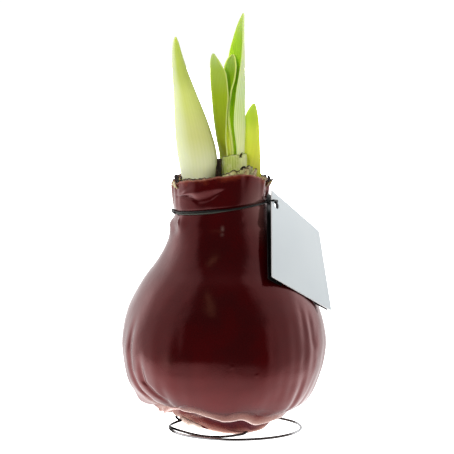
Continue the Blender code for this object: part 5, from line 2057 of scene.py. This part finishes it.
# How far the first strand lies above the second, from 1 to -1, by angle.
STRAND_SWING = (
    (0, 0.5),
    (60, -0.9),
    (120, 0.2),
    (165, 0.9),
    (196, 0.5),
    (222, 1.0),
    (256, 1.0),
    (282, 0.3),
    (335, 0.2),
)
OVERLAP_ANGLES = (168, 199)
OVERLAP_END = 0.0006
TAG_CORNERS = (
    (0.0211, -0.0056, 0.1078),
    (0.0427, 0.0239, 0.0853),
    (0.0477, -0.0041, 0.0537),
    (0.0211, -0.0310, 0.0731),
)
TAG_SIDE = 0.0428
TAG_THICKNESS = 0.0005
TAG_HOLE_RADIUS = 0.0019
TAG_HOLE_AT = (0.092, 0.128)
LOOP_RADIUS = 0.00045
LOOP_TIE_ANGLE = -16
# The loop's way: shares across and down the card, and how far in front of it.
LOOP_PLACES = (
    (0.098, 0.0955, 0.0),
    (0.088, 0.0905, 0.0007),
    (0.050, 0.106, 0.0009),
    (0.000, 0.127, 0.0011),
)
LOOP_BACK_PLACES = ((0.000, 0.127, -0.0017), (0.050, 0.110, -0.0016), (0.084, 0.098, -0.0010))


def tie_middle(angle):
    return skin_point(angle, NECK_RADIUS + TIE_RADIUS + GAP, tie_line(angle))


def strand_route(way):
    """One strand, along the tie's middle line: way 1 is the first, and -1 the second."""
    angle = np.arange(0, 360, 1.5)
    a = np.radians(angle)
    outwards = np.stack([np.cos(a), np.sin(a), 0 * a], axis=-1)
    swing = around(STRAND_SWING, angle)
    dip = way * STRAND_DEPTH * np.sqrt(np.clip(1 - swing**2, 0, 1)) - 0.0003
    route = tie_middle(angle) + dip[:, None] * outwards
    route[:, 2] += way * STRAND_APART * swing
    return route


def overlap_route():
    """The end of the elastic, which lies over the tie at the left and sticks out a little."""
    angle = np.linspace(*OVERLAP_ANGLES, 24)
    a = np.radians(angle)
    outwards = np.stack([np.cos(a), np.sin(a), 0 * a], axis=-1)
    away = 0.0002 + OVERLAP_END * smooth_step(OVERLAP_ANGLES[0] + 14, OVERLAP_ANGLES[0], angle)
    route = tie_middle(angle) + away[:, None] * outwards
    route[:, 2] += np.linspace(0.0004, -0.0001, len(angle))
    return route


def tag_place(u, v, corners=TAG_CORNERS):
    """Points of a leaf's middle layer, at shares u across and v down, and its normals."""
    top_left, top_right, bottom_right, bottom_left = (np.array(c) for c in corners)
    u = np.asarray(u, float)[..., None]
    v = np.asarray(v, float)[..., None]
    left = top_left + (bottom_left - top_left) * v
    right = top_right + (bottom_right - top_right) * v
    down = (bottom_left - top_left) * (1 - u) + (bottom_right - top_right) * u
    normal = np.cross(down, right - left)
    return left + (right - left) * u, normal / np.linalg.norm(normal, axis=-1)[..., None]


def loop_route():
    """The loop, from the tie over the card's edge and back through its hole."""

    def place(u, v, in_front):
        point, normal = tag_place(u, v)
        return point + normal * in_front

    points = [place(*row) for row in LOOP_PLACES] + [tie_middle(LOOP_TIE_ANGLE)]
    points += [place(*row) for row in LOOP_BACK_PLACES]
    return closed_route(points, 96)


elastic_finish, tree, shader = new_finish("black elastic", paint(22, 26, 22), 0.5)
braid = tree.nodes.new("ShaderNodeTexVoronoi")
braid.inputs["Scale"].default_value = 2600.0
plug(tree, braid.inputs["Vector"], tree.nodes.new("ShaderNodeTexCoord").outputs["Object"])
braided = ramp(tree, braid.outputs["Distance"], ((0.0, paint(34, 38, 34)), (0.6, paint(12, 14, 12))))
# The second strand and the overlap are painted lighter grey-green: a painted sheen for the highlight along
# them.
elastic_colour = mix_colours(tree, attribute(tree, "painted_sheen"), braided, paint(74, 80, 70))
plug(tree, shader.inputs["Base Color"], elastic_colour)
raise_surface(tree, shader, braid.outputs["Distance"], 0.6, 0.0001)

tie_parts = [
    (*tube_grid(strand_route(1), STRAND_RADIUS, 12, closed=True), {"painted_sheen": 0.0}),
    (*tube_grid(strand_route(-1), STRAND_RADIUS, 12, closed=True), {"painted_sheen": 0.8}),
    (*tube_grid(loop_route(), LOOP_RADIUS, 12, closed=True), {"painted_sheen": 0.0}),
    (*tube_grid(overlap_route(), STRAND_RADIUS * 1.4, 12), {"painted_sheen": 0.1}),
]
add_piece("tie", tie_parts, "tie", elastic_finish)

# %% [markdown]
# ## The card
# A square card hangs from the loop by a punched hole near its corner. Its face is silver
# grey and its back black, and a black sheet behind it shows a little past it at the left.
# The black back and sheet are painted shade: they give the dark strip of shade and
# reflection beside the card. A Boolean cut would do for the hole, but rays from the hole to
# the leaf's outline give a cleaner mesh that bends with the card, with the hole's wall and
# the cut edge in one skin.

# %% Build the card
TAG_CORNER_ROUNDING = 0.012
TAG_RAYS = 160
TAG_ROWS = 40
TAG_BOW = 0.0003


def outline_reach(hole, direction_u, direction_v):
    """How far a ray from the hole runs before it meets the card's rounded outline."""
    reach = np.linspace(0.01, 1.4, 2800)[None, :]
    u = hole[0] + reach * direction_u[:, None] - 0.5
    v = hole[1] + reach * direction_v[:, None] - 0.5
    core = 0.5 - TAG_CORNER_ROUNDING
    past_u, past_v = (np.maximum(np.abs(share) - core, 0) for share in (u, v))
    outside = np.hypot(past_u, past_v) > TAG_CORNER_ROUNDING
    return reach[0][np.argmax(outside, axis=1)]


def card_leaf(corners, hole, thickness, behind, front):
    """One leaf of the card, or the black sheet behind it, with its hole. Front says whether its face is the
    silver one.
    """
    to_corners = [math.atan2(v - hole[1], u - hole[0]) for u in (0, 1) for v in (0, 1)]
    turn = np.sort(np.concatenate([np.linspace(-math.pi, math.pi, TAG_RAYS, endpoint=False), to_corners]))
    direction_u = np.cos(turn)
    direction_v = np.sin(turn)
    far = outline_reach(hole, direction_u, direction_v)
    near = TAG_HOLE_RADIUS / TAG_SIDE
    faces = []
    for side in (0.5, -0.5):
        share = np.linspace(0, 1, TAG_ROWS)[:, None] ** 1.3
        if side < 0:
            share = share[::-1]
        reach = near + (far[None, :] - near) * share
        u = hole[0] + reach * direction_u
        v = hole[1] + reach * direction_v
        point, normal = tag_place(u, v, corners)
        bow = TAG_BOW * np.sin(math.pi * np.clip(u, 0, 1)) * np.sin(math.pi * np.clip(v, 0, 1))
        face = point + normal * (side * thickness + bow - behind)[..., None]
        faces.append((face, u, v, np.full(u.shape, side + 0.5)))
    grid = np.concatenate([faces[0][0], faces[1][0]])
    u = np.concatenate([faces[0][1], faces[1][1]])
    v = np.concatenate([faces[0][2], faces[1][2]])
    near_edge = np.minimum(np.minimum(u, 1 - u), np.minimum(v, 1 - v)) * TAG_SIDE * 1000
    if not front:
        return grid, "round", {"from_edge": 9.0, "front": 0.0}
    return grid, "round", {"from_edge": near_edge, "front": np.concatenate([faces[0][3], faces[1][3]])}


# A black sheet behind the card shows past it at the left: painted shade beside the card.
SHADE_SHEET_CORNERS = (
    (0.0197, -0.0060, 0.1074),
    (0.0420, 0.0236, 0.0850),
    (0.0468, -0.0043, 0.0543),
    (0.0201, -0.0307, 0.0722),
)
SHADE_SHEET_HOLE_AT = (0.141, 0.093)
SHADE_SHEET_BEHIND = 0.0009
SHADE_SHEET_THICKNESS = 0.00025
CARD_FACE = paint(230, 238, 241)
CARD_BACK_PAINTED_SHADE = paint(20, 19, 19)
CARD_CUT = paint(250, 250, 250)
CARD_PEARL = paint(224, 233, 237)
card_finish, tree, shader = new_finish("silver-grey card", CARD_FACE, 0.38, IOR=1.45)
pearl = use_group(tree, patches, Scale=42.0, Detail=2.0, Low=0.3, High=0.7)["Mask"]
face_colour = tint(tree, CARD_FACE, pearl, 0.5, CARD_PEARL)
card_colour = mix_colours(tree, attribute(tree, "front"), CARD_BACK_PAINTED_SHADE, face_colour)
cut = use_group(tree, torn_edge, Distance=attribute(tree, "from_edge"), Width=0.26, Roughness=0.05)["Mask"]
plug(tree, shader.inputs["Base Color"], mix_colours(tree, cut, card_colour, CARD_CUT))
raise_surface(tree, shader, noise(tree, 1500.0, 2.0), 0.12, 0.0001)
front_leaf = card_leaf(TAG_CORNERS, TAG_HOLE_AT, TAG_THICKNESS, 0.0, True)
shade_sheet = card_leaf(SHADE_SHEET_CORNERS, SHADE_SHEET_HOLE_AT, SHADE_SHEET_THICKNESS, SHADE_SHEET_BEHIND, False)
tag = add_piece("tag", [front_leaf, shade_sheet], "tag", card_finish)
tag.data.set_sharp_from_angle(angle=math.radians(40))
